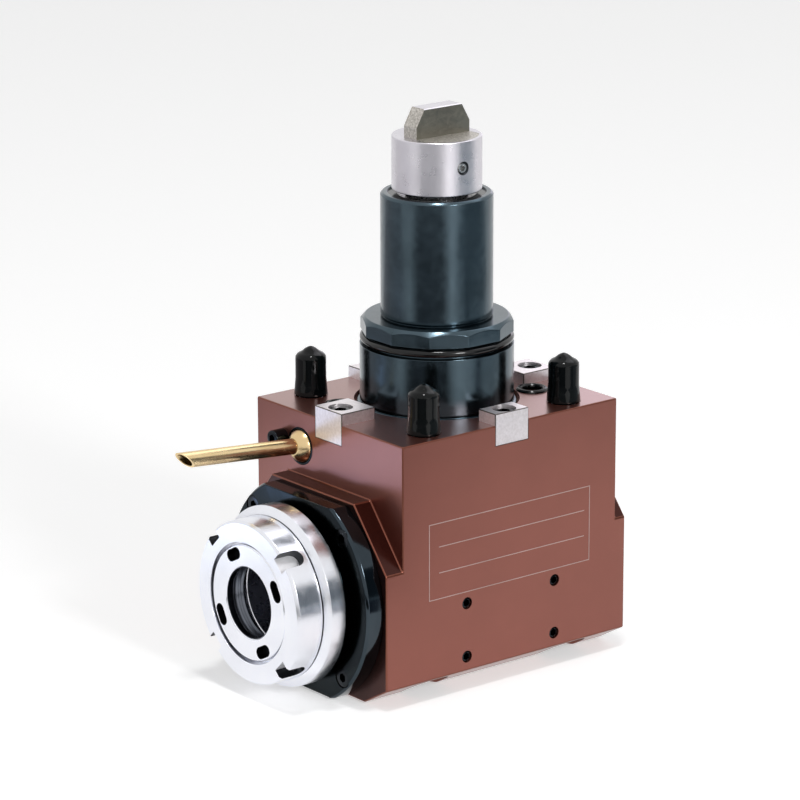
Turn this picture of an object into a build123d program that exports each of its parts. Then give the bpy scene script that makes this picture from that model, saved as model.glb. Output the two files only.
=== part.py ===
"""Driven tool holder for a lathe turret: a square housing with a vertical drive shank on top
and a collet spindle that points forward, geared one to one by a mitre pair inside.

Frame: millimetres, +Z up along the shank, the spindle's nose towards -Y.
The origin is where the shank's axis meets the seat face, which is the housing's top.
"""
import math
import os

from build123d import *

# Housing
body_half_width = 41.5
body_front = -49.0
body_back = 49.0
spindle_height = -59.3
body_bottom = spindle_height - 35.0
side_bottom = -87.2
foot_half_width = 29.0
edge_break = 0.5

# Bosses at the housing's front and back
boss_front = -56.4
boss_back = 53.6
boss_top = -23.2
boss_top_half = 23.5
boss_shoulder = -45.2

# Shank sleeve
pilot_r = 27.5
pilot_top = 20.9
shank_r = 20.0
shank_top = 75.5
flange_r = 28.6
flange_well_r = 29.6
flange_drop = 3.0
flange_relief = 0.3
spigot_bottom = -32.0
groove_r = 24.9
groove_top = 25.0
shank_ring_wire = 1.3
wrench_corner_r = 27.4
wrench_bevel = 1.8
wrench_top = 30.8
wrench_flats = 12
undercut_r = 19.3
undercut_top = 31.1

# Drive shaft, drum and tang
shaft_r = 8.5
shaft_waist_r = 10.5
shaft_collar_r = 14.5
shaft_top = 90.0
gear_seat_r = 9.0
drum_r = 16.0
drum_bottom = 76.6
drum_top = 95.9
drum_screw_height = 86.4
drum_screw_turn = -4.0
drum_screw_r = 2.0
drum_screw_mouth_r = 2.45
drum_screw_socket = 2.0
drum_screw_recess = 0.5
tang_half_thick = 3.5
tang_half_width = 12.0
tang_pocket = 91.0
tang_shoulder = 100.0
tang_top = 106.3
tang_edge = 0.3
tang_top_half = 8.4

# Bearings: bore radius, outer radius and width
upper_bearing = (8.5, 17.5, 10.0)
lower_bearing = (12.5, 23.5, 12.0)
front_bearing = (15.0, 23.5, 9.0)
rear_bearing = (10.0, 21.0, 12.0)
upper_bearing_bottom = 60.0
lower_bearing_bottom = -30.0
front_bearing_front = -51.0
front_bearing_back = -25.5
outer_spacer_r = 20.9
inner_spacer_r = 17.6
rear_bearing_front = 30.0
race_share = 0.28
cage_play = 0.2
cage_margin = 0.15

# Mitre gears
gear_module = 1.75
gear_teeth = 24
gear_face = 7.0
gear_backlash = 0.16
pressure_angle = math.radians(20.0)
gear_rim = 2.5
gear_chamber_r = 22.6
drive_gear_hub_r = 13.0
spindle_gear_hub_r = 16.5

# Spindle
nose_front = -85.2
nose_r = 29.4
nose_chamfer = 0.9
nose_seam = -74.4
collar_front = -73.0
collar_r = 32.5
collar_back = -66.6
journal_r = 17.5
spindle_gear_seat_r = 12.0
gear_thread_r = 11.5
spindle_waist_r = 10.8
waist_bore_r = 17.0
rear_seat_r = 10.0
lock_nut_r = 15.5
spindle_back = 47.0
taper_mouth_r = 16.2
taper_front = -73.6
taper_back = -38.0
taper_angle = math.radians(8.0)
spanner_slot_width = 6.1
spanner_slot_length = 8.7
spanner_slot_depth = 3.9
spanner_slot_angle = 45.0

# Collet nut
nut_front = -84.8
nut_rim_r = 20.9
nut_rim_back = -81.9
nut_recess_r = 21.8
nut_thread_r = 20.0
nut_back = -75.0
nut_bore_r = 12.9
nut_ring_r = 17.0
nut_slot_radius = 17.8
nut_slot_width = 4.3
nut_slot_length = 8.0
nut_slot_depth = 3.2
nut_slot_angle = 27.5

# Small socket head screws of the cap and the cover
small_screw_r = 2.0
small_screw_length = 12.0
small_screw_head_r = 3.5
small_screw_head = 4.0
small_screw_well = 4.2
small_screw_socket = 3.0

# Running clearances
thread_play = 0.06
shaft_play = 0.08
seal_play = 0.1

# How many straight sides a seal's section is drawn with
seal_sides = 12

# Front bearing cap
cap_r = 40.0
cap_flat = 34.8
cap_front = -63.4
cap_hub_r = 27.8
cap_hub_front = -66.1
cap_screw_offset = 25.4
seal_r = 22.0
seal_front = -62.0
seal_back = -56.9

# Rear cover
cover_r = 30.0
cover_front = 47.6
cover_screw_circle = 25.5

# Keys in the top edges
key_half_width = 7.6
key_top = 4.2
key_bottom = -7.5
side_key_inner = 32.3
end_key_inner = 34.2
side_key_screw = 37.0
end_key_screw = 43.5
key_screw_r = 2.5
key_screw_length = 14.0
key_screw_head_r = 4.2
key_screw_head = 4.4
key_screw_socket = 4.0
key_counterbore = 5.2
key_edge = 0.3

# Mounting bolts and their caps
bolt_offset = 32.0
bolt_r = 5.0
bolt_hole_r = 5.5
bolt_hole_mouth_r = 6.2
bolt_tip = 12.4
bolt_head_r = 8.0
bolt_head_well_r = 8.5
bolt_head_under = -76.5
bolt_head_height = 10.0
bolt_socket = 8.0
vinyl_r = 5.55
vinyl_bore_r = 5.1
vinyl_skirt_r = 6.0
vinyl_skirt_top = 1.2
vinyl_flare_top = 6.6
vinyl_shoulder = 13.4
vinyl_tip = 17.8
vinyl_tip_r = 1.4

# Coolant ports and nozzle
port_x = 13.8
port_y = 32.9
port_r = 3.6
port_depth = 16.0
port_ring_r = 5.85
port_ring_wire = 1.1
port_ring_well = 1.2
nozzle_feed_r = 3.0
nozzle_x = -16.2
nozzle_z = -12.7
nozzle_y = -46.8
nozzle_ball_r = 6.3
nozzle_socket_r = 6.7
nozzle_socket_back = -39.7
nozzle_ring_r = 6.85
nozzle_ring_back = -47.4
nozzle_rim_r = 6.03
nozzle_ring_stand = 0.15
nozzle_lean = math.radians(4.6)
tube_r = 2.85
tube_bore_r = 2.2
tube_length = 51.3
tube_cut = 45.0
tube_inner_end = 2.0
plug_x = -26.2
plug_z = -11.5
plug_r = 2.0
plug_head_r = 3.1
plug_head = 5.0
plug_length = 8.0
plug_socket = 3.0

# Set screws in the right side
set_screw_y = 20.2
set_screw_heights = (-62.3, -82.1)
set_screw_r = 2.2
set_screw_length = 6.0
set_screw_recess = 0.4
set_screw_socket = 2.5

# Frames that the turned parts are drawn in, with their own +Z along the part's axis
spindle_frame = Plane(origin=(0, 0, spindle_height), x_dir=(1, 0, 0), z_dir=(0, 1, 0))
gear_apex = (0, 0, spindle_height)


def disc(radius, low, high):
    """A solid cylinder about Z between two heights."""
    return Pos(0, 0, low) * Cylinder(radius, high - low, align=(Align.CENTER, Align.CENTER, Align.MIN))


def ring(inner, outer, low, high):
    """A washer about Z between two heights."""
    return disc(outer, low, high) - disc(inner, low - 1, high + 1)


def turned(*profile):
    """A solid turned about Z from its (radius, height) outline."""
    outline = make_face(Polyline(*profile, close=True))
    return revolve(Plane.XZ * outline, axis=Axis.Z)


def hexagon(across_flats, low, high):
    """A six-sided prism about Z, for sockets."""
    outline = RegularPolygon(across_flats / 2, 6, major_radius=False)
    return Pos(0, 0, low) * extrude(outline, high - low)


def block(x_range, y_range, z_range):
    """A box between two corners."""
    size = [high - low for low, high in (x_range, y_range, z_range)]
    middle = [(low + high) / 2 for low, high in (x_range, y_range, z_range)]
    return Pos(*middle) * Box(*size)


def group(solids):
    """Separate solids kept together as one named piece."""
    return Compound(children=[solid for item in solids for solid in item.solids()])


def cap_screw(thread_r, length, head_r, head_height, socket):
    """A socket head screw: its head stands above z = 0 and its thread hangs below."""
    head = turned(
        (0, 0), (head_r, 0), (head_r, head_height - 0.5), (head_r - 0.5, head_height), (0, head_height)
    )
    screw = head + disc(thread_r, -length, 0)
    return screw - hexagon(socket, head_height * 0.4, head_height + 1)


def set_screw(radius, length, socket):
    """A headless screw that reaches from z = 0 down, with a hexagon socket in its end."""
    body = turned((0, -length), (radius, -length), (radius, -0.35), (radius - 0.35, 0), (0, 0))
    return body - hexagon(socket, -length * 0.5, 1)


def square_places(offset):
    """The four corners of a square pattern about Z."""
    return [(x, y) for x in (-offset, offset) for y in (-offset, offset)]


# Housing

def boss_outline():
    """The bosses' outline in X and Z: a flat top, two shoulders and two chamfered feet."""
    right = [
        (boss_top_half, boss_top),
        (body_half_width, boss_shoulder),
        (body_half_width, side_bottom),
        (foot_half_width, body_bottom),
    ]
    left = [(-x, z) for x, z in reversed(right)]
    return make_face(Polyline(*right, *left, close=True))


def housing_blank():
    """The outside of the housing: the block and the boss that runs through it."""
    tall = block((-body_half_width, body_half_width), (body_front, body_back), (side_bottom, 0))
    tall = chamfer(tall.edges().filter_by(Axis.Z) + tall.faces().sort_by(Axis.Z)[-1].edges(), edge_break)
    boss = extrude(Plane.XZ * boss_outline(), -2 * boss_front, both=True)
    boss = boss & block((-50, 50), (boss_front, boss_back), (body_bottom, boss_top))
    ends = boss.faces().filter_by(Axis.Y).edges()
    return tall + chamfer(ends, edge_break)


def spindle_tunnel():
    """The bore along the spindle, in the spindle's frame: cap seat, chamber and rear seat."""
    return turned(
        (0, boss_front - 1),
        (front_bearing[1], boss_front - 1),
        (front_bearing[1], front_bearing_back),
        (gear_chamber_r, front_bearing_back),
        (gear_chamber_r, 0),
        (waist_bore_r, 3),
        (waist_bore_r, rear_bearing_front - 1),
        (rear_bearing[1], rear_bearing_front - 1),
        (rear_bearing[1], cover_front),
        (cover_r, cover_front),
        (cover_r, boss_back + 1),
        (0, boss_back + 1),
    )


def drive_tunnel():
    """The bore down from the seat face to the gears."""
    return turned(
        (0, spindle_height),
        (gear_chamber_r, spindle_height),
        (gear_chamber_r, spigot_bottom),
        (pilot_r, spigot_bottom),
        (pilot_r, -flange_drop),
        (flange_well_r, -flange_drop),
        (flange_well_r, 1),
        (0, 1),
    )


def key_slots():
    """The four pockets for the keys, open at the top and at the side."""
    width = (-key_half_width, key_half_width)
    depth = (key_bottom, 1)
    beside = [block((side_key_inner, 60), width, depth), block((-60, -side_key_inner), width, depth)]
    ahead = [block(width, (-60, -end_key_inner), depth), block(width, (end_key_inner, 60), depth)]
    return beside + ahead


def key_screw_places():
    """Where the four key screws stand."""
    return [(side_key_screw, 0), (-side_key_screw, 0), (0, end_key_screw), (0, -end_key_screw)]


def on_front(x, z, y=body_front):
    """A frame on the front face with its +Z pointing out of it."""
    return Plane(origin=(x, y, z), x_dir=(1, 0, 0), z_dir=(0, -1, 0))


def on_right(y, z):
    """A frame on the right side with its +Z pointing out of it."""
    return Plane(origin=(body_half_width, y, z), x_dir=(0, 1, 0), z_dir=(1, 0, 0))


def bolt_hole():
    """A mounting bolt's hole with its chamfered mouth."""
    chamfer_depth = bolt_hole_mouth_r - bolt_hole_r
    mouth = turned(
        (0, -chamfer_depth),
        (bolt_hole_r, -chamfer_depth),
        (bolt_hole_mouth_r, 0),
        (bolt_hole_mouth_r, 1),
        (0, 1),
    )
    return disc(bolt_hole_r, body_bottom, 0) + mouth


def housing():
    """The painted block with every bore, pocket and tapped hole."""
    cuts = [spindle_frame * spindle_tunnel(), drive_tunnel()]
    cuts += key_slots()
    cuts += [Pos(x, y, 0) * disc(key_screw_r, -key_screw_length - 2.5, 0) for x, y in key_screw_places()]
    for x, y in square_places(bolt_offset):
        cuts.append(Pos(x, y, 0) * bolt_hole())
        cuts.append(Pos(x, y, 0) * disc(bolt_head_well_r, body_bottom - 1, bolt_head_under))
    for side in (-1, 1):
        place = Pos(side * port_x, side * port_y, 0)
        cuts.append(place * disc(port_r, -port_depth, 1))
        cuts.append(place * disc(port_ring_r + seal_play, -port_ring_well, 1))
    nozzle = on_front(nozzle_x, nozzle_z)
    cuts.append(nozzle * disc(nozzle_socket_r, body_front - nozzle_socket_back, 1))
    cuts.append(nozzle * disc(nozzle_ring_r, body_front - nozzle_ring_back, 1))
    cuts.append(nozzle * disc(nozzle_feed_r, body_front + port_y, 0))
    cuts.append(on_front(plug_x, plug_z) * disc(plug_r, -plug_length - 1, 1))
    for y in (-set_screw_y, set_screw_y):
        cuts += [on_right(y, z) * disc(set_screw_r, -set_screw_length - 2, 1) for z in set_screw_heights]
    for x, z in square_places(cap_screw_offset):
        cuts.append(on_front(x, spindle_height + z, boss_front) * disc(small_screw_r, -small_screw_length, 1))
    cuts += [place * disc(small_screw_r, -small_screw_length - 5, 1) for place in rear_cover_places()]
    return housing_blank() - cuts


# Shank sleeve

def wrench_cut():
    """What is cut off the sleeve to leave the wrench flats, with the corners' top bevel."""
    flat_r = wrench_corner_r * math.cos(math.pi / wrench_flats)
    outline = RegularPolygon(flat_r, wrench_flats, major_radius=False, rotation=180 / wrench_flats)
    height = wrench_top - groove_top
    prism = Pos(0, 0, groove_top) * extrude(outline, height)
    bevel = turned(
        (0, groove_top),
        (wrench_corner_r, groove_top),
        (wrench_corner_r, wrench_top - wrench_bevel),
        (wrench_corner_r - wrench_bevel, wrench_top),
        (0, wrench_top),
    )
    return ring(undercut_r, 40, groove_top, wrench_top) - (prism & bevel)


def shank_sleeve():
    """Flange, pilot, O-ring groove, wrench flats and shank in one turned piece."""
    sleeve = turned(
        (front_bearing[1], spigot_bottom),
        (pilot_r, spigot_bottom),
        (pilot_r, -flange_drop),
        (flange_r, -flange_drop),
        (flange_r, -flange_relief - 0.4),
        (flange_r - 0.4, -flange_relief),
        (pilot_r, -flange_relief),
        (pilot_r, pilot_top),
        (groove_r, pilot_top),
        (groove_r, groove_top),
        (wrench_corner_r, groove_top),
        (wrench_corner_r, wrench_top),
        (undercut_r, wrench_top),
        (undercut_r, undercut_top),
        (shank_r, undercut_top + 0.5),
        (shank_r, shank_top - 0.8),
        (shank_r - 0.8, shank_top),
        (upper_bearing[1], shank_top),
        (upper_bearing[1], upper_bearing_bottom),
        (shaft_collar_r, upper_bearing_bottom - 3),
        (shaft_collar_r + 1.5, 4),
        (lower_bearing[1] - 3, lower_bearing_bottom + 2 * lower_bearing[2]),
        (lower_bearing[1], lower_bearing_bottom + 2 * lower_bearing[2]),
    )
    return sleeve - wrench_cut()


def seal_ring(middle_r, height, wire):
    """A round seal about Z, its section drawn with straight sides."""
    section = Pos(middle_r, height) * RegularPolygon(wire, seal_sides)
    return revolve(Plane.XZ * section, axis=Axis.Z)


def shank_o_ring():
    """Seal in the pilot's groove, drawn at the size that the turret's bore squeezes it to."""
    return seal_ring(groove_r + shank_ring_wire, (pilot_top + groove_top) / 2, shank_ring_wire)


# Bearings

def race_depth(size):
    """How thick a bearing's two races are."""
    bore, outer, width = size
    return (outer - bore) * race_share


def bearing_outer(size):
    """Outer race, from z = 0 to its width."""
    bore, outer, width = size
    return ring(outer - race_depth(size), outer, 0, width)


def bearing_inner(size):
    """Inner race, from z = 0 to its width."""
    bore, outer, width = size
    return ring(bore, bore + race_depth(size), 0, width)


def bearing_cage(size):
    """The row of balls in its cage, as one ring between the races."""
    bore, outer, width = size
    inside = bore + race_depth(size) + cage_play
    outside = outer - race_depth(size) - cage_play
    return ring(inside, outside, width * cage_margin, width * (1 - cage_margin))


def lower_stack(race):
    """Two of the lower drive bearings, one on the other."""
    start = lower_bearing_bottom
    return [Pos(0, 0, start + i * lower_bearing[2]) * race(lower_bearing) for i in range(2)]


def front_stack(race):
    """The spindle's front pair, in the spindle's frame."""
    starts = (front_bearing_front, front_bearing_back - front_bearing[2])
    return [Pos(0, 0, start) * race(front_bearing) for start in starts]


def front_gap():
    """Where the spacers between the front pair start and end."""
    return front_bearing_front + front_bearing[2], front_bearing_back - front_bearing[2]


def bearing_retainer():
    """Threaded ring that holds the lower bearings in the sleeve."""
    return ring(lower_bearing[1] - 3.3, lower_bearing[1], spigot_bottom, lower_bearing_bottom)


# Mitre gears

def involute(angle):
    """The involute function."""
    return math.tan(angle) - angle


def gap_half_angle(radius, virtual_r, virtual_teeth):
    """Half the angle between two teeth at a radius of the equivalent spur gear."""
    base_r = virtual_r * math.cos(pressure_angle)
    roll = math.acos(min(1.0, base_r / radius))
    tooth = math.pi / 2 - gear_backlash / gear_module
    half_tooth = tooth / virtual_teeth + involute(pressure_angle) - involute(roll)
    return math.pi / virtual_teeth - half_tooth


def gap_section():
    """The space between two teeth at the heel: X across it, Y out along the teeth."""
    virtual_r = gear_module * gear_teeth / 2 / math.cos(math.pi / 4)
    virtual_teeth = gear_teeth / math.cos(math.pi / 4)
    base_r = virtual_r * math.cos(pressure_angle)

    def point(radius, side):
        angle = gap_half_angle(max(radius, base_r), virtual_r, virtual_teeth)
        return side * radius * math.sin(angle), radius * math.cos(angle) - virtual_r

    root_r = virtual_r - 1.25 * gear_module
    outer_r = virtual_r + 1.4 * gear_module
    sides = {side: [point(r, side) for r in (root_r, base_r, virtual_r, outer_r)] for side in (-1, 1)}
    lines = [Line(sides[-1][0], sides[1][0]), Line(sides[-1][3], sides[1][3])]
    for root, base, pitch, outer in sides.values():
        lines += [Line(root, base), ThreePointArc(base, pitch, outer)]
    return make_face(lines)


def gap_cutter():
    """One tooth space as a tapered cutter that shrinks towards the cone's apex."""
    cone_distance = gear_module * gear_teeth / 2 / math.sin(math.pi / 4)
    section = gap_section()
    ends = []
    for distance in (cone_distance - gear_face - 0.8, cone_distance + 1.5):
        place = Plane(
            origin=(distance * math.sqrt(0.5), 0, distance * math.sqrt(0.5)),
            x_dir=(0, -1, 0),
            z_dir=(1, 0, 1),
        )
        ends.append(place * scale(section, distance / cone_distance))
    return loft(ends)


def bevel_gear(bore_r, hub_r, hub_length):
    """Mitre gear about Z, its cone's apex at the origin and a tooth space on +X."""
    slant = math.sqrt(0.5)
    cone_distance = gear_module * gear_teeth / 2 / math.sin(math.pi / 4)
    toe = (cone_distance - gear_face) / cone_distance
    depth = 1.25 * gear_module + gear_rim

    def on_cone(size, out):
        """Radius and height of a point at a share of the cone, out along the teeth."""
        along = cone_distance * size * slant
        return along + out * size * slant, along - out * size * slant

    heel_tip = on_cone(1, gear_module)
    heel_root = on_cone(1, -depth)
    toe_tip = on_cone(toe, gear_module)
    toe_root = on_cone(toe, -depth)
    back = heel_root[1]
    blank = turned(
        (bore_r, toe_root[1]), toe_root, toe_tip, heel_tip, heel_root,
        (hub_r, back), (hub_r, back + hub_length), (bore_r, back + hub_length),
    )
    cutter = gap_cutter()
    step = 360 / gear_teeth
    return blank - [Rot(0, 0, i * step) * cutter for i in range(gear_teeth)]


def gear_back():
    """How far a gear's back lies from the apex."""
    return gear_module * gear_teeth / 2 + (1.25 * gear_module + gear_rim) * math.sqrt(0.5)


def gear_toe():
    """How far a gear's front end lies from the apex."""
    cone_distance = gear_module * gear_teeth / 2 / math.sin(math.pi / 4)
    toe = (cone_distance - gear_face) / cone_distance
    return toe * gear_back()


drive_gear_frame = Plane(origin=gear_apex, x_dir=(0, -1, 0), z_dir=(0, 0, 1))
spindle_gear_frame = Plane(origin=gear_apex, x_dir=(0, 0, 1), z_dir=(0, -1, 0))


def drive_gear_key():
    """Key between the drive shaft and its gear's hub."""
    return block((6.5, 11.0), (-2, 2), (lower_bearing_bottom - 8, lower_bearing_bottom - 1))


def spindle_gear_key():
    """Key between the spindle and its gear."""
    start = front_bearing_back + 0.5
    return spindle_frame * block((9.8, 14.0), (-2, 2), (start, start + 5.5))


def drive_bevel_gear():
    """Upper gear, turned half a tooth so that a tooth stands in the lower gear's space."""
    hub_length = lower_bearing_bottom - spindle_height - gear_back()
    gear = bevel_gear(gear_seat_r, drive_gear_hub_r, hub_length)
    return drive_gear_frame * Rot(0, 0, 180 / gear_teeth) * gear - drive_gear_key()


def spindle_bevel_gear():
    """Lower gear on the spindle, behind the front bearings."""
    hub_length = -front_bearing_back - gear_back()
    gear = bevel_gear(spindle_gear_seat_r, spindle_gear_hub_r, hub_length)
    return spindle_gear_frame * gear - spindle_gear_key()


# Drive shaft with its drum and tang

def drive_shaft():
    """Stepped shaft from the gear up into the drum."""
    bottom = spindle_height + gear_toe()
    shaft = turned(
        (0, bottom),
        (gear_seat_r, bottom),
        (gear_seat_r, lower_bearing_bottom),
        (lower_bearing[0], lower_bearing_bottom),
        (lower_bearing[0], lower_bearing_bottom + 24),
        (shaft_collar_r, lower_bearing_bottom + 24),
        (shaft_collar_r, 0),
        (shaft_waist_r, 4),
        (shaft_waist_r, upper_bearing_bottom),
        (shaft_r, upper_bearing_bottom),
        (shaft_r, shaft_top - 0.6),
        (shaft_r - 0.6, shaft_top),
        (0, shaft_top),
    )
    shaft -= Pos(0, 0, bottom) * disc(3.0, -1, 12)
    return shaft - drive_gear_key()


def drive_gear_screw():
    """Flat screw and washer in one that holds the gear on the shaft's end."""
    face = spindle_height + gear_toe()
    screw = disc(7.5, face - 2, face) + disc(3.0, face, face + 11)
    return screw - hexagon(4, face - 3, face - 0.8)


def shaft_spacer():
    """Sleeve between the upper bearing and the drum, on which the seal runs."""
    return ring(shaft_r, 11.0, upper_bearing_bottom + upper_bearing[2], drum_bottom)


def shaft_seal():
    """Lip seal in the shank's mouth."""
    low = upper_bearing_bottom + upper_bearing[2] + 0.4
    return turned(
        (upper_bearing[1], low), (upper_bearing[1], shank_top - 0.6), (14, shank_top - 0.6),
        (11.0 + shaft_play, shank_top - 1.6), (11.0 + shaft_play, shank_top - 2.4), (13.4, low + 1.4),
        (13.4, low),
    )


def tang_blade():
    """Outline of the tang in Y and Z, with its two sloping shoulders."""
    right = [(tang_half_width, tang_pocket), (tang_half_width, tang_shoulder), (tang_top_half, tang_top)]
    left = [(-y, z) for y, z in reversed(right)]
    return extrude(Plane.YZ * make_face(Polyline(*right, *left, close=True)), tang_half_thick, both=True)


def drive_tang():
    """Flat blade that stands in the drum's pocket."""
    blade = tang_blade()
    top = blade.faces().sort_by(Axis.Z)[-1]
    return chamfer(top.edges().filter_by(Axis.Y), tang_edge)


def drum_screw_frame():
    """Frame on the shaft's axis with its +Z out along the drum's set screw."""
    turn = math.radians(drum_screw_turn)
    return Plane(origin=(0, 0, drum_screw_height), x_dir=(0, 0, 1), z_dir=(math.cos(turn), math.sin(turn), 0))


def drum_set_screw():
    """Grub screw through the drum's side onto the shaft."""
    outer = drum_r - drum_screw_recess
    return drum_screw_frame() * Pos(0, 0, outer) * set_screw(drum_screw_r, outer - shaft_r, drum_screw_socket)


def coupling_drum():
    """Bright drum with the shaft's bore below and the tang's pocket above."""
    drum = turned(
        (0, drum_bottom), (drum_r - 0.4, drum_bottom), (drum_r, drum_bottom + 0.4),
        (drum_r, drum_top - 0.6), (drum_r - 0.6, drum_top), (0, drum_top),
    )
    lip = drum_screw_mouth_r - drum_screw_r
    screw_hole = drum_screw_frame() * turned(
        (0, 0), (drum_screw_r, 0), (drum_screw_r, drum_r - lip), (drum_screw_mouth_r, drum_r),
        (drum_screw_mouth_r, drum_r + 4), (0, drum_r + 4),
    )
    pocket = block(
        (-tang_half_thick, tang_half_thick), (-tang_half_width, tang_half_width), (tang_pocket, drum_top + 1)
    )
    return drum - [disc(shaft_r, drum_bottom - 1, shaft_top), screw_hole, pocket]


# Spindle

def spanner_slots():
    """Four slots in the nose for a hook spanner, open at the front and round at the back."""
    half = spanner_slot_width / 2
    floor = nose_r - spanner_slot_depth
    back = nose_front + spanner_slot_length - half
    slot = block((floor, nose_r + 3), (-half, half), (nose_front - 1, back))
    end_frame = Plane(origin=(floor, 0, back), x_dir=(0, 1, 0), z_dir=(1, 0, 0))
    slot += end_frame * disc(half, 0, 3 + spanner_slot_depth)
    return [Rot(0, 0, spanner_slot_angle + 90 * i) * slot for i in range(4)]


def spindle():
    """Nose, collet taper, bearing seats and tail, drawn in the spindle's frame."""
    taper_back_r = taper_mouth_r - (taper_back - taper_front) * math.tan(taper_angle)
    thread_bore = nut_thread_r + thread_play
    body = turned(
        (nut_recess_r, nose_front),
        (nose_r - nose_chamfer, nose_front),
        (nose_r, nose_front + nose_chamfer),
        (nose_r, nose_seam - 0.3),
        (nose_r - 0.5, nose_seam),
        (nose_r + 0.7, nose_seam + 0.2),
        (collar_r, collar_front),
        (collar_r, collar_back - 0.5),
        (collar_r - 0.5, collar_back),
        (journal_r, collar_back),
        (journal_r, front_bearing_front),
        (front_bearing[0], front_bearing_front),
        (front_bearing[0], front_bearing_back),
        (spindle_gear_seat_r, front_bearing_back),
        (spindle_gear_seat_r, -gear_toe()),
        (gear_thread_r, -gear_toe()),
        (gear_thread_r, -gear_toe() + 4),
        (spindle_waist_r, -gear_toe() + 4),
        (spindle_waist_r, rear_bearing_front),
        (rear_seat_r, rear_bearing_front),
        (rear_seat_r, spindle_back - 0.8),
        (rear_seat_r - 0.8, spindle_back),
        (0, spindle_back),
        (0, taper_back + 8),
        (8.5, taper_back + 6),
        (8.5, taper_back),
        (taper_back_r, taper_back),
        (taper_mouth_r, taper_front),
        (thread_bore, taper_front),
        (thread_bore, nut_rim_back + 0.2),
        (nut_recess_r, nut_rim_back + 0.2),
    )
    return spindle_frame * (body - spanner_slots()) - spindle_gear_key()


def nut_slots():
    """Four curved pin spanner slots in the nut's face, rounded at both ends."""
    half = nut_slot_width / 2
    spread = (nut_slot_length - nut_slot_width) / 2
    slots = []
    for i in range(4):
        outline = Pos(nut_slot_radius, 0) * SlotCenterToCenter(2 * spread, 2 * half, rotation=90)
        slot = Pos(0, 0, nut_front - 1) * extrude(outline, nut_slot_depth + 1)
        slots.append(Rot(0, 0, -nut_slot_angle - 90 * i) * slot)
    return slots


def collet_nut():
    """Flush nut: threaded outside, grooved inside to hold the extractor ring."""
    body = turned(
        (nut_bore_r, nut_front + 0.4),
        (nut_bore_r + 0.4, nut_front),
        (nut_rim_r - 0.5, nut_front),
        (nut_rim_r, nut_front + 0.5),
        (nut_rim_r, nut_rim_back),
        (nut_thread_r, nut_rim_back),
        (nut_thread_r, nut_back),
        (nut_ring_r + shaft_play, nut_back),
        (nut_ring_r + shaft_play, nut_rim_back + 1.6),
        (nut_bore_r + 1.6, nut_rim_back + 1.6),
        (nut_bore_r + 1.6, nut_rim_back + 0.4),
        (nut_bore_r, nut_rim_back),
    )
    return spindle_frame * (body - nut_slots())


def collet_nut_ring():
    """Extractor ring that grips the collet's groove and stays still while the nut turns."""
    front = nut_rim_back + 1.7
    return spindle_frame * turned(
        (nut_bore_r + 2.6, front),
        (nut_ring_r, front),
        (nut_ring_r, nut_back - 0.2),
        (nut_bore_r + 2.0, nut_back - 0.2),
        (nut_bore_r + 1.0, nut_back - 1.6),
        (nut_bore_r + 1.0, front + 1.6),
    )


def spindle_gear_nut():
    """Thin nut behind the gear, which clamps gear, races and spacer on the spindle."""
    nut = ring(gear_thread_r, 13.0, -gear_toe(), -gear_toe() + 3.6)
    return spindle_frame * nut


def spindle_lock_nut():
    """Slotted nut that holds the rear race."""
    front = rear_bearing_front + rear_bearing[2]
    nut = ring(rear_seat_r, lock_nut_r, front, spindle_back - 0.2)
    notch = block((13.8, 17), (-2, 2), (front - 1, spindle_back + 1))
    return spindle_frame * (nut - [Rot(0, 0, 90 * i) * notch for i in range(4)])


# Front cap, seal and rear cover

def screw_well():
    """Counterbore and clearance hole for a small screw, down from z = 0."""
    return disc(small_screw_head_r + 0.2, -small_screw_well, 1) + disc(small_screw_r + 0.1, -20, 0)


def small_screws(places):
    """Small screws with their heads down in their counterbores."""
    screw = cap_screw(
        small_screw_r, small_screw_length, small_screw_head_r, small_screw_head, small_screw_socket
    )
    return group([place * Pos(0, 0, -small_screw_well) * screw for place in places])


def cap_screw_places():
    """Frames at the four cap screws, their +Z out of the cap's face."""
    return [on_front(x, spindle_height + z, cap_front) for x, z in square_places(cap_screw_offset)]


def front_bearing_cap():
    """Round flange with a flat at its top and bottom, a hub in front and a spigot behind."""
    cap = turned(
        (journal_r + 1.0, front_bearing_front),
        (front_bearing[1], front_bearing_front),
        (front_bearing[1], boss_front),
        (cap_r - 0.4, boss_front),
        (cap_r, boss_front - 0.4),
        (cap_r, cap_front + 0.8),
        (cap_r - 0.8, cap_front),
        (cap_hub_r, cap_front),
        (cap_hub_r, cap_hub_front),
        (journal_r + 0.5, cap_hub_front),
        (journal_r + 0.5, seal_front),
        (seal_r, seal_front),
        (seal_r, seal_back),
        (journal_r + 1.0, seal_back),
    )
    keep = block((-50, 50), (-cap_flat, cap_flat), (-80, -40))
    cap = spindle_frame * (cap & keep)
    return cap - [place * screw_well() for place in cap_screw_places()]


def front_seal():
    """Lip seal between the cap and the spindle's journal."""
    lip = journal_r + shaft_play
    return spindle_frame * turned(
        (seal_r, seal_front), (seal_r, seal_back), (journal_r + 2, seal_back), (lip, seal_back - 1.6),
        (lip, seal_back - 2.4), (journal_r + 2, seal_front + 1), (journal_r + 2, seal_front),
    )


def rear_cover_places():
    """Frames at the four cover screws, their +Z out of the back."""
    face = Plane(origin=(0, boss_back, spindle_height), x_dir=(1, 0, 0), z_dir=(0, 1, 0))
    return [face * place for place in PolarLocations(cover_screw_circle, 4, 45)]


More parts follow.
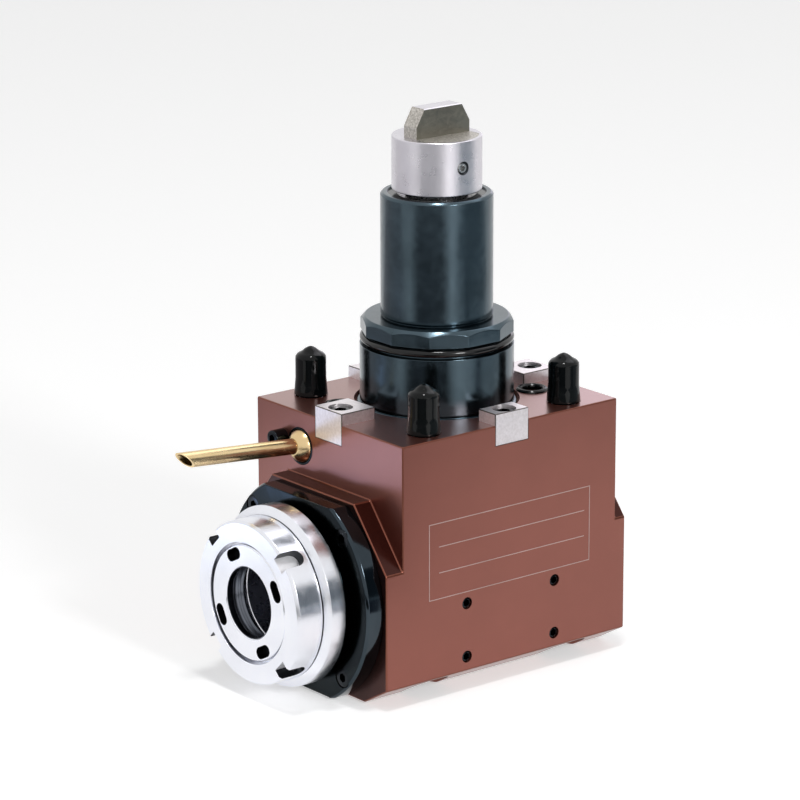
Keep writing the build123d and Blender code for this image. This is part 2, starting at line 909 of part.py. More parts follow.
def rear_cover():
    """Disc let into the rear boss, with a spigot that closes the bearing's bore."""
    cover = turned(
        (0, cover_front + 1.5),
        (16.0, cover_front + 1.5),
        (16.0, cover_front - 2.6),
        (rear_bearing[1], cover_front - 2.6),
        (rear_bearing[1], cover_front),
        (cover_r, cover_front),
        (cover_r, boss_back - 0.5),
        (cover_r - 0.5, boss_back),
        (0, boss_back),
    )
    return spindle_frame * cover - [place * screw_well() for place in rear_cover_places()]


# Keys, bolts, ports and nozzle

def key(x_range, y_range, screw):
    """One nickelled key with broken edges and a counterbore for its screw."""
    solid = chamfer(block(x_range, y_range, (key_bottom, key_top)).edges(), key_edge)
    place = Pos(screw[0], screw[1], 0)
    through = disc(key_screw_r + 0.2, key_bottom - 1, key_top + 1)
    well = disc(key_screw_head_r + 0.2, key_top - key_counterbore, key_top + 1)
    return solid - [place * through, place * well]


def keys():
    """The four keys by name."""
    across = (-key_half_width, key_half_width)
    side = (side_key_inner, body_half_width)
    end = (end_key_inner, body_back)
    other_side = (-body_half_width, -side_key_inner)
    other_end = (body_front, -end_key_inner)
    right, left, back, front = key_screw_places()
    return {
        "key_right": key(side, across, right),
        "key_left": key(other_side, across, left),
        "key_back": key(across, end, back),
        "key_front": key(across, other_end, front),
    }


def key_screws():
    """The keys' socket head screws, their heads down in the counterbores."""
    screw = cap_screw(key_screw_r, key_screw_length, key_screw_head_r, key_screw_head, key_screw_socket)
    return [Pos(x, y, key_top - key_counterbore) * screw for x, y in key_screw_places()]


def mounting_bolts():
    """Long bolts pushed up through the housing, heads in wells under it."""
    length = bolt_tip - bolt_head_under
    bolt = turned(
        (0, -bolt_head_height), (bolt_head_r - 0.6, -bolt_head_height), (bolt_head_r, -bolt_head_height + 0.6),
        (bolt_head_r, 0), (bolt_r, 0), (bolt_r, length - 0.8), (bolt_r - 0.8, length), (0, length),
    )
    bolt -= hexagon(bolt_socket, -bolt_head_height - 1, -bolt_head_height * 0.5)
    return [Pos(x, y, bolt_head_under) * bolt for x, y in square_places(bolt_offset)]


def thread_cap():
    """Soft cap over a bolt's thread: a flared skirt, a straight body, a dome and a small nipple."""
    return turned(
        (vinyl_bore_r, 0.1),
        (vinyl_skirt_r, 0.1),
        (vinyl_skirt_r, vinyl_skirt_top),
        (vinyl_r, vinyl_flare_top),
        (vinyl_r, vinyl_shoulder),
        (vinyl_r - 0.5, vinyl_shoulder + 1.3),
        (vinyl_r - 1.9, vinyl_shoulder + 2.1),
        (vinyl_tip_r + 1.0, vinyl_tip - 1.8),
        (vinyl_tip_r, vinyl_tip - 0.5),
        (0, vinyl_tip),
        (0, bolt_tip + 0.2),
        (vinyl_bore_r, bolt_tip + 0.2),
    )


def thread_caps():
    """The four caps by name."""
    cap = thread_cap()
    places = enumerate(square_places(bolt_offset), start=1)
    return {f"thread_cap_{i}": Pos(x, y, 0) * cap for i, (x, y) in places}


def port_o_rings():
    """Seals that stand a little proud of the seat face round the coolant ports."""
    seal = seal_ring(port_ring_r - port_ring_wire, -0.1, port_ring_wire)
    return [Pos(side * port_x, side * port_y, 0) * seal for side in (-1, 1)]


def nozzle_direction():
    """The way that the tube points at rest."""
    lean = math.sin(nozzle_lean)
    return (-0.447 * lean, -math.cos(nozzle_lean), 0.894 * lean)


def nozzle_frame():
    """Frame at the ball's centre with its +Z along the tube and its +Y upwards."""
    return Plane(origin=(nozzle_x, nozzle_y, nozzle_z), x_dir=(0.894, 0, 0.447), z_dir=nozzle_direction())


def nozzle_ball():
    """Ball with the tube's bore through it."""
    return nozzle_frame() * (Sphere(nozzle_ball_r) - disc(tube_r + 0.04, -10, 10))


def nozzle_tube():
    """Tube that starts inside the ball and is cut off at a slant, longest at its top."""
    tube = ring(tube_bore_r, tube_r, tube_inner_end, tube_length + tube_r)
    beyond = Box(40, 60, 20, align=(Align.CENTER, Align.CENTER, Align.MIN))
    return nozzle_frame() * (tube - Pos(0, 0, tube_length) * Rot(tube_cut, 0, 0) * beyond)


def nozzle_seat_ring():
    """Threaded ring that keeps the ball in its socket."""
    back = body_front - nozzle_ring_back
    bore = turned(
        (0, back - 1), (nozzle_ball_r + 0.3, back - 1), (nozzle_ball_r + 0.3, back), (nozzle_rim_r, 0),
        (nozzle_rim_r + 0.3, 1), (0, 1),
    )
    return on_front(nozzle_x, nozzle_z) * (disc(nozzle_ring_r, back, nozzle_ring_stand) - bore)


def coolant_plug_screw():
    """Socket screw that closes the spare coolant outlet."""
    return on_front(plug_x, plug_z) * cap_screw(plug_r, plug_length, plug_head_r, plug_head, plug_socket)


def side_set_screws():
    """Four set screws just under the right side's surface."""
    screw = Pos(0, 0, -set_screw_recess) * set_screw(set_screw_r, set_screw_length, set_screw_socket)
    return [on_right(y, z) * screw for y in (-set_screw_y, set_screw_y) for z in set_screw_heights]


def pieces():
    """Every named piece of the holder."""
    gap = front_gap()
    built = {
        "housing": housing(),
        "shank_sleeve": shank_sleeve(),
        "shank_o_ring": shank_o_ring(),
        "bearing_retainer": bearing_retainer(),
        "shaft_seal": shaft_seal(),
        "drive_upper_race": Pos(0, 0, upper_bearing_bottom) * bearing_outer(upper_bearing),
        "drive_lower_races": group(lower_stack(bearing_outer)),
        "drive_ball_cages": group(
            [Pos(0, 0, upper_bearing_bottom) * bearing_cage(upper_bearing)] + lower_stack(bearing_cage)
        ),
        "drive_inner_races": group(
            [Pos(0, 0, upper_bearing_bottom) * bearing_inner(upper_bearing)] + lower_stack(bearing_inner)
        ),
        "drive_shaft": drive_shaft(),
        "shaft_spacer": shaft_spacer(),
        "coupling_drum": coupling_drum(),
        "drum_set_screw": drum_set_screw(),
        "drive_tang": drive_tang(),
        "drive_bevel_gear": drive_bevel_gear(),
        "drive_gear_key": drive_gear_key(),
        "drive_gear_screw": drive_gear_screw(),
        "front_bearing_cap": front_bearing_cap(),
        "front_cap_screws": small_screws(cap_screw_places()),
        "front_seal": front_seal(),
        "spindle_front_races": group([spindle_frame * race for race in front_stack(bearing_outer)]),
        "spindle_outer_spacer": spindle_frame * ring(outer_spacer_r, front_bearing[1], *gap),
        "spindle_rear_race": spindle_frame * Pos(0, 0, rear_bearing_front) * bearing_outer(rear_bearing),
        "spindle_ball_cages": group(
            [spindle_frame * cage for cage in front_stack(bearing_cage)]
            + [spindle_frame * Pos(0, 0, rear_bearing_front) * bearing_cage(rear_bearing)]
        ),
        "spindle_inner_races": group(
            [spindle_frame * race for race in front_stack(bearing_inner)]
            + [spindle_frame * Pos(0, 0, rear_bearing_front) * bearing_inner(rear_bearing)]
        ),
        "spindle_inner_spacer": spindle_frame * ring(front_bearing[0], inner_spacer_r, *gap),
        "spindle": spindle(),
        "spindle_bevel_gear": spindle_bevel_gear(),
        "spindle_gear_key": spindle_gear_key(),
        "spindle_gear_nut": spindle_gear_nut(),
        "spindle_lock_nut": spindle_lock_nut(),
        "collet_nut": collet_nut(),
        "collet_nut_ring": collet_nut_ring(),
        "rear_cover": rear_cover(),
        "rear_cover_screws": small_screws(rear_cover_places()),
        "key_screws": group(key_screws()),
        "mounting_bolts": group(mounting_bolts()),
        "port_o_rings": group(port_o_rings()),
        "nozzle_seat_ring": nozzle_seat_ring(),
        "nozzle_ball": nozzle_ball(),
        "nozzle_tube": nozzle_tube(),
        "coolant_plug_screw": coolant_plug_screw(),
        "side_set_screws": group(side_set_screws()),
    }
    return {**built, **keys(), **thread_caps()}


os.makedirs("parts", exist_ok=True)
for name, shape in pieces().items():
    export_step(shape, f"parts/{name}.step")
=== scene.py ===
"""Driven tool holder for a lathe turret: its visible pieces, their finishes, the light and the view.

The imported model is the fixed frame: metres, +Z up along the shank, the spindle's nose towards -Y,
and the origin where the shank's axis meets the seat face. Pieces that show are modelled again here
with finer edges, each stands for its node of the frame, and the nodes inside keep their own mesh.
"""

import logging
import math
from dataclasses import dataclass
from enum import Enum
from typing import Callable, Sequence

import bpy
from mathutils import Matrix, Vector


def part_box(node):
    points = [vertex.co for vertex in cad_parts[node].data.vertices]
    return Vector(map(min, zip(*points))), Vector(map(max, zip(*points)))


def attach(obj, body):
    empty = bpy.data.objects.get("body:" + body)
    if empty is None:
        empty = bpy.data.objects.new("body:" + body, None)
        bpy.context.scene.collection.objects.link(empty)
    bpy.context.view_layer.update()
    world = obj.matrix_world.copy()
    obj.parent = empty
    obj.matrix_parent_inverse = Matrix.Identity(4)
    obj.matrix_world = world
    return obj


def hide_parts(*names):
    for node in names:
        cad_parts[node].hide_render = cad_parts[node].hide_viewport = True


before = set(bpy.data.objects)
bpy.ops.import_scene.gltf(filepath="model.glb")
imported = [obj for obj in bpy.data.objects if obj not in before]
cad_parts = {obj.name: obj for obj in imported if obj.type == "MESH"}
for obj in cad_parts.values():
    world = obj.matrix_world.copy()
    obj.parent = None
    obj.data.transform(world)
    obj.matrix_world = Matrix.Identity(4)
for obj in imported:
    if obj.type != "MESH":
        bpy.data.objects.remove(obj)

log = logging.getLogger("tool holder")

Point2 = tuple[float, float]
Point3 = tuple[float, float, float]
Colour = tuple[float, float, float]
Piece = bpy.types.Object
Socket = bpy.types.NodeSocket

BODY_LOW, BODY_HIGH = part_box("housing")
SPINDLE_HEIGHT = -0.0593
ROUND_STEPS, FINE_STEPS, MIDDLE_STEPS, SMALL_STEPS = 144, 96, 64, 48
FULL_TURN = 2 * math.pi
SHARP_ANGLE = math.radians(28)
SMOOTH_ANGLE = math.radians(25)
WELD = 1e-6
MICRO = 1e-6
# How far a cutting tool stands past the face that it cuts
OVER = 0.001
WHITE = (1.0, 1.0, 1.0, 1.0)


class Body(Enum):
    """The moving bodies of the frame that pieces ride on."""

    HOLDER = "holder"
    DRIVE = "drive"
    SPINDLE = "spindle_group"
    EXTRACTOR = "extractor"
    NUT = "nut"
    BALL = "ball"
    TUBE = "tube"
    CAP_1 = "cap_1"
    CAP_2 = "cap_2"
    CAP_3 = "cap_3"
    CAP_4 = "cap_4"


class Slot(Enum):
    """Names of the record's finishes, passed with each piece made here and not used further."""

    PAINTED = "painted_steel"
    BLACK = "black_steel"
    BRIGHT = "bright_steel"
    TOOL = "tool_steel"
    NICKEL = "nickel"
    SCREW = "screw_steel"
    BRASS = "nozzle_brass"
    RUBBER = "seal_rubber"
    VINYL = "vinyl"


# Frames that turned pieces are placed by, with their own +Z along the piece's axis


def placement(origin: Point3, x_dir: Point3, z_dir: Point3) -> Matrix:
    """Make the matrix that stands a piece at a place, its +X and +Z along two directions.

    Args:
        origin: Where the piece's own origin goes.
        x_dir: The direction of its +X.
        z_dir: The direction of its +Z.

    Returns:
        The placement as a 4 by 4 matrix.
    """
    z_axis = Vector(z_dir).normalized()
    y_axis = z_axis.cross(Vector(x_dir)).normalized()
    x_axis = y_axis.cross(z_axis)
    turn_part = Matrix((x_axis, y_axis, z_axis)).transposed().to_4x4()
    return Matrix.Translation(origin) @ turn_part


def upright(x: float, y: float, z: float = 0.0) -> Matrix:
    """Place a piece upright at a point."""
    return Matrix.Translation((x, y, z))


def on_front(x: float, z: float, y: float) -> Matrix:
    """Place a piece on a front face, its +Z out of it."""
    return placement((x, y, z), (1, 0, 0), (0, -1, 0))


def on_right(y: float, z: float) -> Matrix:
    """Place a piece on the right side, its +Z out of it."""
    return placement((BODY_HIGH.x, y, z), (0, 1, 0), (1, 0, 0))


SPINDLE_FRAME = placement((0, 0, SPINDLE_HEIGHT), (1, 0, 0), (0, 1, 0))


def square(offset: float) -> list[Point2]:
    """List the corners of a square about the origin."""
    return [(x, y) for x in (-offset, offset) for y in (-offset, offset)]


@dataclass(frozen=True)
class Layout:
    """Places on the block that the housing shares with the pieces that go into it."""

    block_half: float = 0.049
    bolt_offset: float = 0.032
    port: Point2 = (0.0138, 0.0329)
    nozzle: Point2 = (-0.0162, -0.0127)
    plug: Point2 = (-0.0262, -0.0115)
    set_screw_reach: float = 0.0202
    set_screw_heights: Point2 = (-0.0623, -0.0821)

    def bolts(self) -> list[Matrix]:
        """Place the four long bolts."""
        return [upright(x, y) for x, y in square(self.bolt_offset)]

    def ports(self) -> list[Matrix]:
        """Place the two coolant ports."""
        x, y = self.port
        return [upright(-x, -y), upright(x, y)]

    def nozzle_face(self) -> Matrix:
        """Place the nozzle's socket on the block's front."""
        return on_front(*self.nozzle, -self.block_half)

    def plug_face(self) -> Matrix:
        """Place the plug screw's hole on the block's front."""
        return on_front(*self.plug, -self.block_half)

    def set_screws(self) -> list[Matrix]:
        """Place the four set screws on the right side."""
        reach = self.set_screw_reach
        return [on_right(y, z) for y in (-reach, reach) for z in self.set_screw_heights]


LAYOUT = Layout()


# Modelling by hand, in code


def deselect_all() -> None:
    """Leave nothing selected and nothing active."""
    bpy.ops.object.select_all(action="DESELECT")
    bpy.context.view_layer.objects.active = None


def pick(piece: Piece) -> None:
    """Select one piece alone and make it active.

    Args:
        piece: The piece.
    """
    deselect_all()
    piece.select_set(True)
    bpy.context.view_layer.objects.active = piece


def begin_edit(piece: Piece) -> None:
    """Open a piece's mesh for editing, all of it selected.

    Args:
        piece: The piece.
    """
    pick(piece)
    bpy.ops.object.mode_set(mode="EDIT")
    bpy.ops.mesh.select_all(action="SELECT")


def end_edit() -> None:
    """Close the mesh that is open."""
    bpy.ops.object.mode_set(mode="OBJECT")


def close_mesh() -> None:
    """Weld the open mesh's doubles and point its faces outwards."""
    bpy.ops.mesh.select_all(action="SELECT")
    bpy.ops.mesh.remove_doubles(threshold=WELD)
    bpy.ops.mesh.normals_make_consistent(inside=False)


def settle(piece: Piece, matrix: Matrix = Matrix.Identity(4)) -> Piece:
    """Move a piece by a matrix and put that place into its mesh.

    Args:
        piece: The piece to move.
        matrix: Where it goes.

    Returns:
        The same piece, its object at the origin.
    """
    pick(piece)
    piece.matrix_world = matrix @ piece.matrix_world
    bpy.ops.object.transform_apply(location=True, rotation=True, scale=True)
    return piece


def turn(name: str, profile: Sequence[Point2], steps: int = ROUND_STEPS) -> Piece:
    """Turn an outline about Z, as on a lathe.

    A corner is pulled from point to point with extrude, and the outline is spun round.

    Args:
        name: The new piece's name.
        profile: Radius and height of each corner. An outline that starts and ends on the axis
            is left open there.
        steps: How many steps the spin makes.

    Returns:
        The turned piece.
    """
    points = [Vector((radius, 0.0, height)) for radius, height in profile]
    deselect_all()
    bpy.ops.mesh.primitive_plane_add(size=0.001, location=points[0])
    piece = bpy.context.object
    piece.name = name
    settle(piece)
    begin_edit(piece)
    bpy.ops.mesh.merge(type="CENTER")
    on_axis = profile[0][0] == 0 and profile[-1][0] == 0
    path = points if on_axis else [*points, points[0]]
    for here, there in zip(path, path[1:]):
        bpy.ops.mesh.extrude_region_move(TRANSFORM_OT_translate={"value": there - here})
    bpy.ops.mesh.select_all(action="SELECT")
    bpy.ops.mesh.spin(steps=steps, angle=FULL_TURN, center=(0, 0, 0), axis=(0, 0, 1))
    close_mesh()
    end_edit()
    return piece


def turn_solid(name: str, steps: Sequence[Point2], around: int = ROUND_STEPS) -> Piece:
    """Turn a solid from the steps of its outside, with a flat end at both ends.

    Args:
        name: The new piece's name.
        steps: Radius and height of each corner of the outside.
        around: How many steps the spin makes.

    Returns:
        The turned solid.
    """
    return turn(name, [(0, steps[0][1]), *steps, (0, steps[-1][1])], around)


def turn_ring(name: str, middle: Point2, wire: float, sides: int, around: int) -> Piece:
    """Turn a round wire to a ring about Z.

    Args:
        name: The new piece's name.
        middle: Radius and height of the wire's middle.
        wire: The wire's radius.
        sides: How many sides the wire has.
        around: How many steps the spin makes.

    Returns:
        The ring.
    """
    radius, height = middle
    angles = [FULL_TURN * i / sides for i in range(sides)]
    return turn(name, [(radius + wire * math.cos(a), height + wire * math.sin(a)) for a in angles], around)


def rod(name: str, radius: float, low: float, high: float, sides: int = SMALL_STEPS) -> Piece:
    """Add a cylinder or prism about Z between two heights.

    Args:
        name: The new piece's name.
        radius: Radius to its corners.
        low: Height of its lower end.
        high: Height of its upper end.
        sides: How many sides it has.

    Returns:
        The prism.
    """
    deselect_all()
    middle = (0, 0, (low + high) / 2)
    bpy.ops.mesh.primitive_cylinder_add(vertices=sides, radius=radius, depth=high - low, location=middle)
    piece = bpy.context.object
    piece.name = name
    return settle(piece)


def block(name: str, low: Point3, high: Point3) -> Piece:
    """Add a box between two corners.

    Args:
        name: The new piece's name.
        low: Its lowest corner.
        high: Its highest corner.

    Returns:
        The box.
    """
    deselect_all()
    low_corner, high_corner = Vector(low), Vector(high)
    bpy.ops.mesh.primitive_cube_add(size=1, location=(low_corner + high_corner) / 2)
    piece = bpy.context.object
    piece.name = name
    piece.scale = high_corner - low_corner
    return settle(piece)


def trim(piece: Piece, point: Point3, outward: Point3) -> None:
    """Saw off what lies beyond a plane and close the cut.

    Args:
        piece: The solid piece to trim.
        point: A point of the plane.
        outward: The direction of what is taken away.
    """
    begin_edit(piece)
    normal = Vector(outward).normalized()
    bpy.ops.mesh.bisect(plane_co=point, plane_no=normal, use_fill=True, clear_outer=True, threshold=WELD)
    close_mesh()
    end_edit()


def apply_modifier(piece: Piece, modifier: bpy.types.Modifier) -> None:
    """Make a modifier's result the piece's own mesh."""
    pick(piece)
    bpy.ops.object.modifier_apply(modifier=modifier.name)


def combine(piece: Piece, other: Piece, operation: str) -> Piece:
    """Unite, cut or intersect a piece with another, which is used up.

    What the other piece cuts takes its finish, or the piece's own if it has none.

    Args:
        piece: The piece that stays.
        other: The piece that is used up.
        operation: UNION, DIFFERENCE or INTERSECT.

    Returns:
        The piece that stays.
    """
    if any(piece.data.materials) and not any(other.data.materials):
        other.data.materials.append(piece.data.materials[0])
    modifier = piece.modifiers.new("combine", "BOOLEAN")
    modifier.operation = operation
    modifier.solver = "EXACT"
    modifier.material_mode = "TRANSFER"
    modifier.object = other
    apply_modifier(piece, modifier)
    bpy.data.objects.remove(other)
    return piece


def cut(piece: Piece, *tools: Piece) -> Piece:
    """Cut tools out of a piece one after another.

    Args:
        piece: The piece that stays.
        *tools: The tools, which are used up.

    Returns:
        The piece that stays.
    """
    for tool in tools:
        combine(piece, tool, "DIFFERENCE")
    return piece


def copy_at(piece: Piece, name: str, matrix: Matrix) -> Piece:
    """Copy a piece with a mesh of its own and place the copy.

    Args:
        piece: The piece to copy.
        name: The copy's name.
        matrix: Where the copy goes.

    Returns:
        The copy, its object at the origin.
    """
    pick(piece)
    bpy.ops.object.duplicate(linked=False)
    copy = bpy.context.object
    copy.name = name
    return settle(copy, matrix)


def spread(piece: Piece, name: str, places: Sequence[Matrix]) -> Piece:
    """Copy a piece to every place and join the copies to one piece.

    Args:
        piece: The pattern, which is used up.
        name: The joined piece's name.
        places: Where the copies go.

    Returns:
        The joined piece.
    """
    copies = [copy_at(piece, name, place) for place in places]
    bpy.data.objects.remove(piece)
    deselect_all()
    for copy in copies:
        copy.select_set(True)
    bpy.context.view_layer.objects.active = copies[0]
    if len(copies) > 1:
        bpy.ops.object.join()
    return bpy.context.object


def round_edges(piece: Piece, width: float, segments: int = 2, material: int = -1) -> Piece:
    """Round every sharp edge of a piece.

    Args:
        piece: The piece.
        width: How wide the rounding is.
        segments: Its number of steps.
        material: Which of the piece's materials the rounding takes, its neighbours' if -1.

    Returns:
        The same piece.
    """
    modifier = piece.modifiers.new("edge rounding", "BEVEL")
    modifier.width = width
    modifier.segments = segments
    modifier.limit_method = "ANGLE"
    modifier.angle_limit = SHARP_ANGLE
    modifier.use_clamp_overlap = False
    modifier.material = material
    apply_modifier(piece, modifier)
    return piece


def smooth(piece: Piece) -> Piece:
    """Shade curves smooth and keep large flats flat.

    Args:
        piece: The piece.

    Returns:
        The same piece.
    """
    pick(piece)
    bpy.ops.object.shade_smooth_by_angle(angle=SMOOTH_ANGLE)
    modifier = piece.modifiers.new("flat faces", "WEIGHTED_NORMAL")
    modifier.keep_sharp = True
    modifier.weight = 80
    apply_modifier(piece, modifier)
    return piece


def shift(piece: Piece, chosen: Callable[[Vector], bool], way: Point3) -> None:
    """Move the corners of a piece that a test chooses.

    Args:
        piece: The piece.
        chosen: Says of a corner's place whether it moves.
        way: How far and which way it moves.
    """
    begin_edit(piece)
    bpy.ops.mesh.select_all(action="DESELECT")
    end_edit()
    for vertex in piece.data.vertices:
        vertex.select = chosen(vertex.co)
    bpy.ops.object.mode_set(mode="EDIT")
    bpy.ops.transform.translate(value=way)
    end_edit()


def hexagon_socket(across_flats: float, low: float, high: float) -> Piece:
    """Make the tool that sinks a hexagon socket between two heights."""
    return rod("socket tool", across_flats / math.sqrt(3), low, high, sides=6)


def slot_tool(width: float, length: float, low: float, high: float) -> Piece:
    """Make the tool for a slot with round ends, its length along Y.

    Args:
        width: The slot's width.
        length: Its length over the round ends.
        low: Height of its floor.
        high: Height of the tool's top.

    Returns:
        The tool, centred on Z.
    """
    reach = (length - width) / 2
    tool = rod("slot end", width / 2, low, high)
    settle(tool, Matrix.Rotation(math.pi / SMALL_STEPS, 4, "Z"))
    begin_edit(tool)
    bpy.ops.mesh.bisect(plane_co=(0, 0, 0), plane_no=(0, 1, 0))
    end_edit()
    shift(tool, lambda point: point.y > MICRO, (0, reach, 0))
    shift(tool, lambda point: point.y < -MICRO, (0, -reach, 0))
    return tool


# Finishes


@dataclass
class NodeBench:
    """A material's node tree, with short ways to add and join nodes."""

    material: bpy.types.Material

    @property
    def shader(self) -> bpy.types.Node:
        """The material's main shader."""
        return self.material.node_tree.nodes["Principled BSDF"]

    def node(self, kind: str, inputs: dict | None = None, **settings: object) -> bpy.types.Node:
        """Add a node.

        Args:
            kind: The node's type, without its ShaderNode prefix.
            inputs: Values for its sockets, or sockets of other nodes to join to them.
            **settings: The node's own settings.

        Returns:
            The new node.
        """
        made = self.material.node_tree.nodes.new("ShaderNode" + kind)
        for name, value in settings.items():
            setattr(made, name, value)
        for name, value in (inputs or {}).items():
            self.feed(made.inputs[name], value)
        return made

    def feed(self, socket: Socket, value: object) -> None:
        """Set a socket to a value, or join another node's socket to it.

        Args:
            socket: The socket.
            value: A plain value or another node's socket.
        """
        if isinstance(value, Socket):
            self.material.node_tree.links.new(value, socket)
        else:
            socket.default_value = value

    def place(self) -> Socket:
        """Give the point of the surface in the object's own coordinates."""
        return self.node("TexCoord").outputs["Object"]

    def noise(self, scale: float, detail: float = 3.0, at: object = None) -> Socket:
        """Add a noise pattern.

        Args:
            scale: Its number of waves per metre.
            detail: How many finer layers it has.
            at: The point that it is read at, the surface's own if left out.

        Returns:
            The pattern's value socket.
        """
        inputs = {"Vector": at or self.place(), "Scale": scale, "Detail": detail}
        return self.node("TexNoise", inputs).outputs["Fac"]

    def ramp(self, value: Socket, low: Point2, high: Point2) -> Socket:
        """Stretch a value from one range to another.

        Args:
            value: The value to stretch.
            low: The value's lower end, and what it becomes.
            high: The value's upper end, and what it becomes.

        Returns:
            The stretched value.
        """
        inputs = {"Value": value, 1: low[0], 2: high[0], 3: low[1], 4: high[1]}
        return self.node("MapRange", inputs).outputs["Result"]

    def blend(self, share: Socket, first: Colour, second: Colour) -> Socket:
        """Mix two colours by a share."""
        mix = self.node("Mix", {0: share, 6: (*first, 1.0), 7: (*second, 1.0)}, data_type="RGBA")
        return mix.outputs[2]

    def bump(self, height: Socket, depth: float) -> None:
        """Raise the surface by a pattern, of which a value of one stands this many metres high."""
        made = self.node("Bump", {"Height": height, "Distance": depth})
        self.feed(self.shader.inputs["Normal"], made.outputs["Normal"])

    def lathe_lines(self, centre: Point3, turned_to: Point3, scale: float) -> Socket:
        """Add the fine lines that a lathe leaves round an axis.

        Args:
            centre: A point of the axis.
            turned_to: Angles that turn the axis to Z.
            scale: Lines per metre.

        Returns:
            The pattern's value socket.
        """
        back = tuple(-value for value in centre)
        moved = self.node("Mapping", {"Vector": self.place(), "Location": back}).outputs["Vector"]
        turned = self.node("Mapping", {"Vector": moved, "Rotation": turned_to}).outputs["Vector"]
        parts = self.node("SeparateXYZ", {"Vector": turned})
        flat = self.node("CombineXYZ", {"X": parts.outputs["X"], "Y": parts.outputs["Y"]})
        radius = self.node("VectorMath", {0: flat.outputs["Vector"]}, operation="LENGTH")
        lines = self.node("CombineXYZ", {"X": radius.outputs["Value"], "Y": parts.outputs["Z"]})
        return self.noise(scale, 2.0, lines.outputs["Vector"])


@dataclass(frozen=True)
class Finish:
    """What every finish has: a name, a base colour and a second tone that drifts over it."""

    name: str
    colour: Colour
    drift: Colour
    roughness: Point2
    metallic: float = 1.0
    specular: float = 0.5
    drift_scale: float = 60.0
    grain_scale: float = 900.0
    grain_depth: float = 0.00001

    def bench(self) -> NodeBench:
        """Start the material with its colour and its shine.

        Returns:
            The bench with the material begun.
        """
        material = bpy.data.materials.new(f"finish_{self.name}")
        material.use_nodes = True
        bench = NodeBench(material)
        shader = bench.shader
        shader.inputs["Specular IOR Level"].default_value = self.specular
        cloud = bench.noise(self.drift_scale, 4.0)
        share = bench.ramp(cloud, (0.35, 0.0), (0.65, 1.0))
        bench.feed(shader.inputs["Base Color"], bench.blend(share, self.colour, self.drift))
        smoothest, roughest = self.roughness
        shine = bench.ramp(bench.noise(self.grain_scale / 3), (0.3, smoothest), (0.7, roughest))
        bench.feed(shader.inputs["Roughness"], shine)
        shader.inputs["Metallic"].default_value = self.metallic
        return bench

    def surface(self, bench: NodeBench) -> None:
        """Add the fine grain."""
        bench.bump(bench.noise(self.grain_scale), self.grain_depth)

    def material(self) -> bpy.types.Material:
        """Give the finish as a material, made the first time that it is asked for.

        Returns:
            The material.
        """
        known = bpy.data.materials.get(f"finish_{self.name}")
        if known:
            return known
        bench = self.bench()
        self.surface(bench)
        return bench.material


@dataclass(frozen=True)
class Coated(Finish):
    """Paint, vinyl or another finish under a clear glossy layer."""

    metallic: float = 0.0
    coat: float = 0.5
    coat_roughness: float = 0.1

    def surface(self, bench: NodeBench) -> None:
        """Add the fine grain and the clear layer on top.

        Args:
            bench: The bench with the material begun.
        """
        bench.bump(bench.noise(self.grain_scale), self.grain_depth)
        bench.shader.inputs["Coat Weight"].default_value = self.coat
        bench.shader.inputs["Coat Roughness"].default_value = self.coat_roughness


@dataclass(frozen=True)
class Turned(Finish):
    """Metal with the fine lines of a lathe round one axis."""

    centre: Point3 = (0.0, 0.0, 0.0)
    turned_to: Point3 = (0.0, 0.0, 0.0)
    lines: float = 2500.0
    line_depth: float = 0.000004

    def surface(self, bench: NodeBench) -> None:
        """Add the lathe lines."""
        lines = bench.lathe_lines(self.centre, self.turned_to, self.lines)
        bench.bump(lines, self.line_depth)


SPINDLE_AXIS = {"centre": (0.0, 0.0, SPINDLE_HEIGHT), "turned_to": (math.pi / 2, 0.0, 0.0)}

PAINTED = Coated("coated_body", (0.240, 0.068, 0.045), (0.228, 0.064, 0.042), (0.28, 0.31), metallic=0.9,
                 coat=0.75, coat_roughness=0.26, grain_scale=2600.0, grain_depth=0.0000007)
# Painted light: a tone of its own for the body's rounded edges, standing in for how they catch the light
BODY_EDGE_PAINTED_LIGHT = Coated("body_edge_painted_light", (0.19, 0.062, 0.040), (0.20, 0.062, 0.038), (0.28, 0.36), metallic=0.9,
                      coat=0.2, grain_depth=0.000002)
# Painted shade: a much darker copy of the body's coat for the bosses' ends, tops and upper slants
BOSS_PAINTED_SHADE = Coated("boss_painted_shade", (0.050, 0.0085, 0.0045), (0.036, 0.0060, 0.0032), (0.28, 0.36),
                      metallic=0.9, coat=0.25, coat_roughness=0.2, grain_scale=2200.0, grain_depth=0.0000015)
BLACK_STEEL = Turned("black_oxide", (0.072, 0.102, 0.122), (0.052, 0.074, 0.088), (0.15, 0.24))
# Painted shade: a darker copy of the black oxide for the cap's face, the rear cover and the nozzle's ring
DARK_OXIDE_PAINTED_SHADE = Turned("dark_oxide_painted_shade", (0.012, 0.017, 0.020), (0.008, 0.012, 0.014), (0.14, 0.22),
                    **SPINDLE_AXIS)
# Painted highlight: a lighter, smoother copy of the black oxide for the cap's rim
RIM_OXIDE_PAINTED_HIGHLIGHT = Turned("rim_oxide_painted_highlight", (0.048, 0.062, 0.074), (0.034, 0.045, 0.054), (0.09, 0.13),
                   **SPINDLE_AXIS)
BRIGHT_DRUM = Turned("bright_turned", (0.68, 0.66, 0.70), (0.61, 0.59, 0.63), (0.26, 0.34),
                     line_depth=0.0000015)
BRIGHT_NOSE = Turned("bright_nose", (0.84, 0.85, 0.90), (0.77, 0.78, 0.83), (0.19, 0.26),
                     line_depth=0.000003, **SPINDLE_AXIS)
MILLED_FLOOR = Finish("milled_floor", (0.90, 0.90, 0.93), (0.80, 0.80, 0.83), (0.45, 0.55), metallic=0.6)
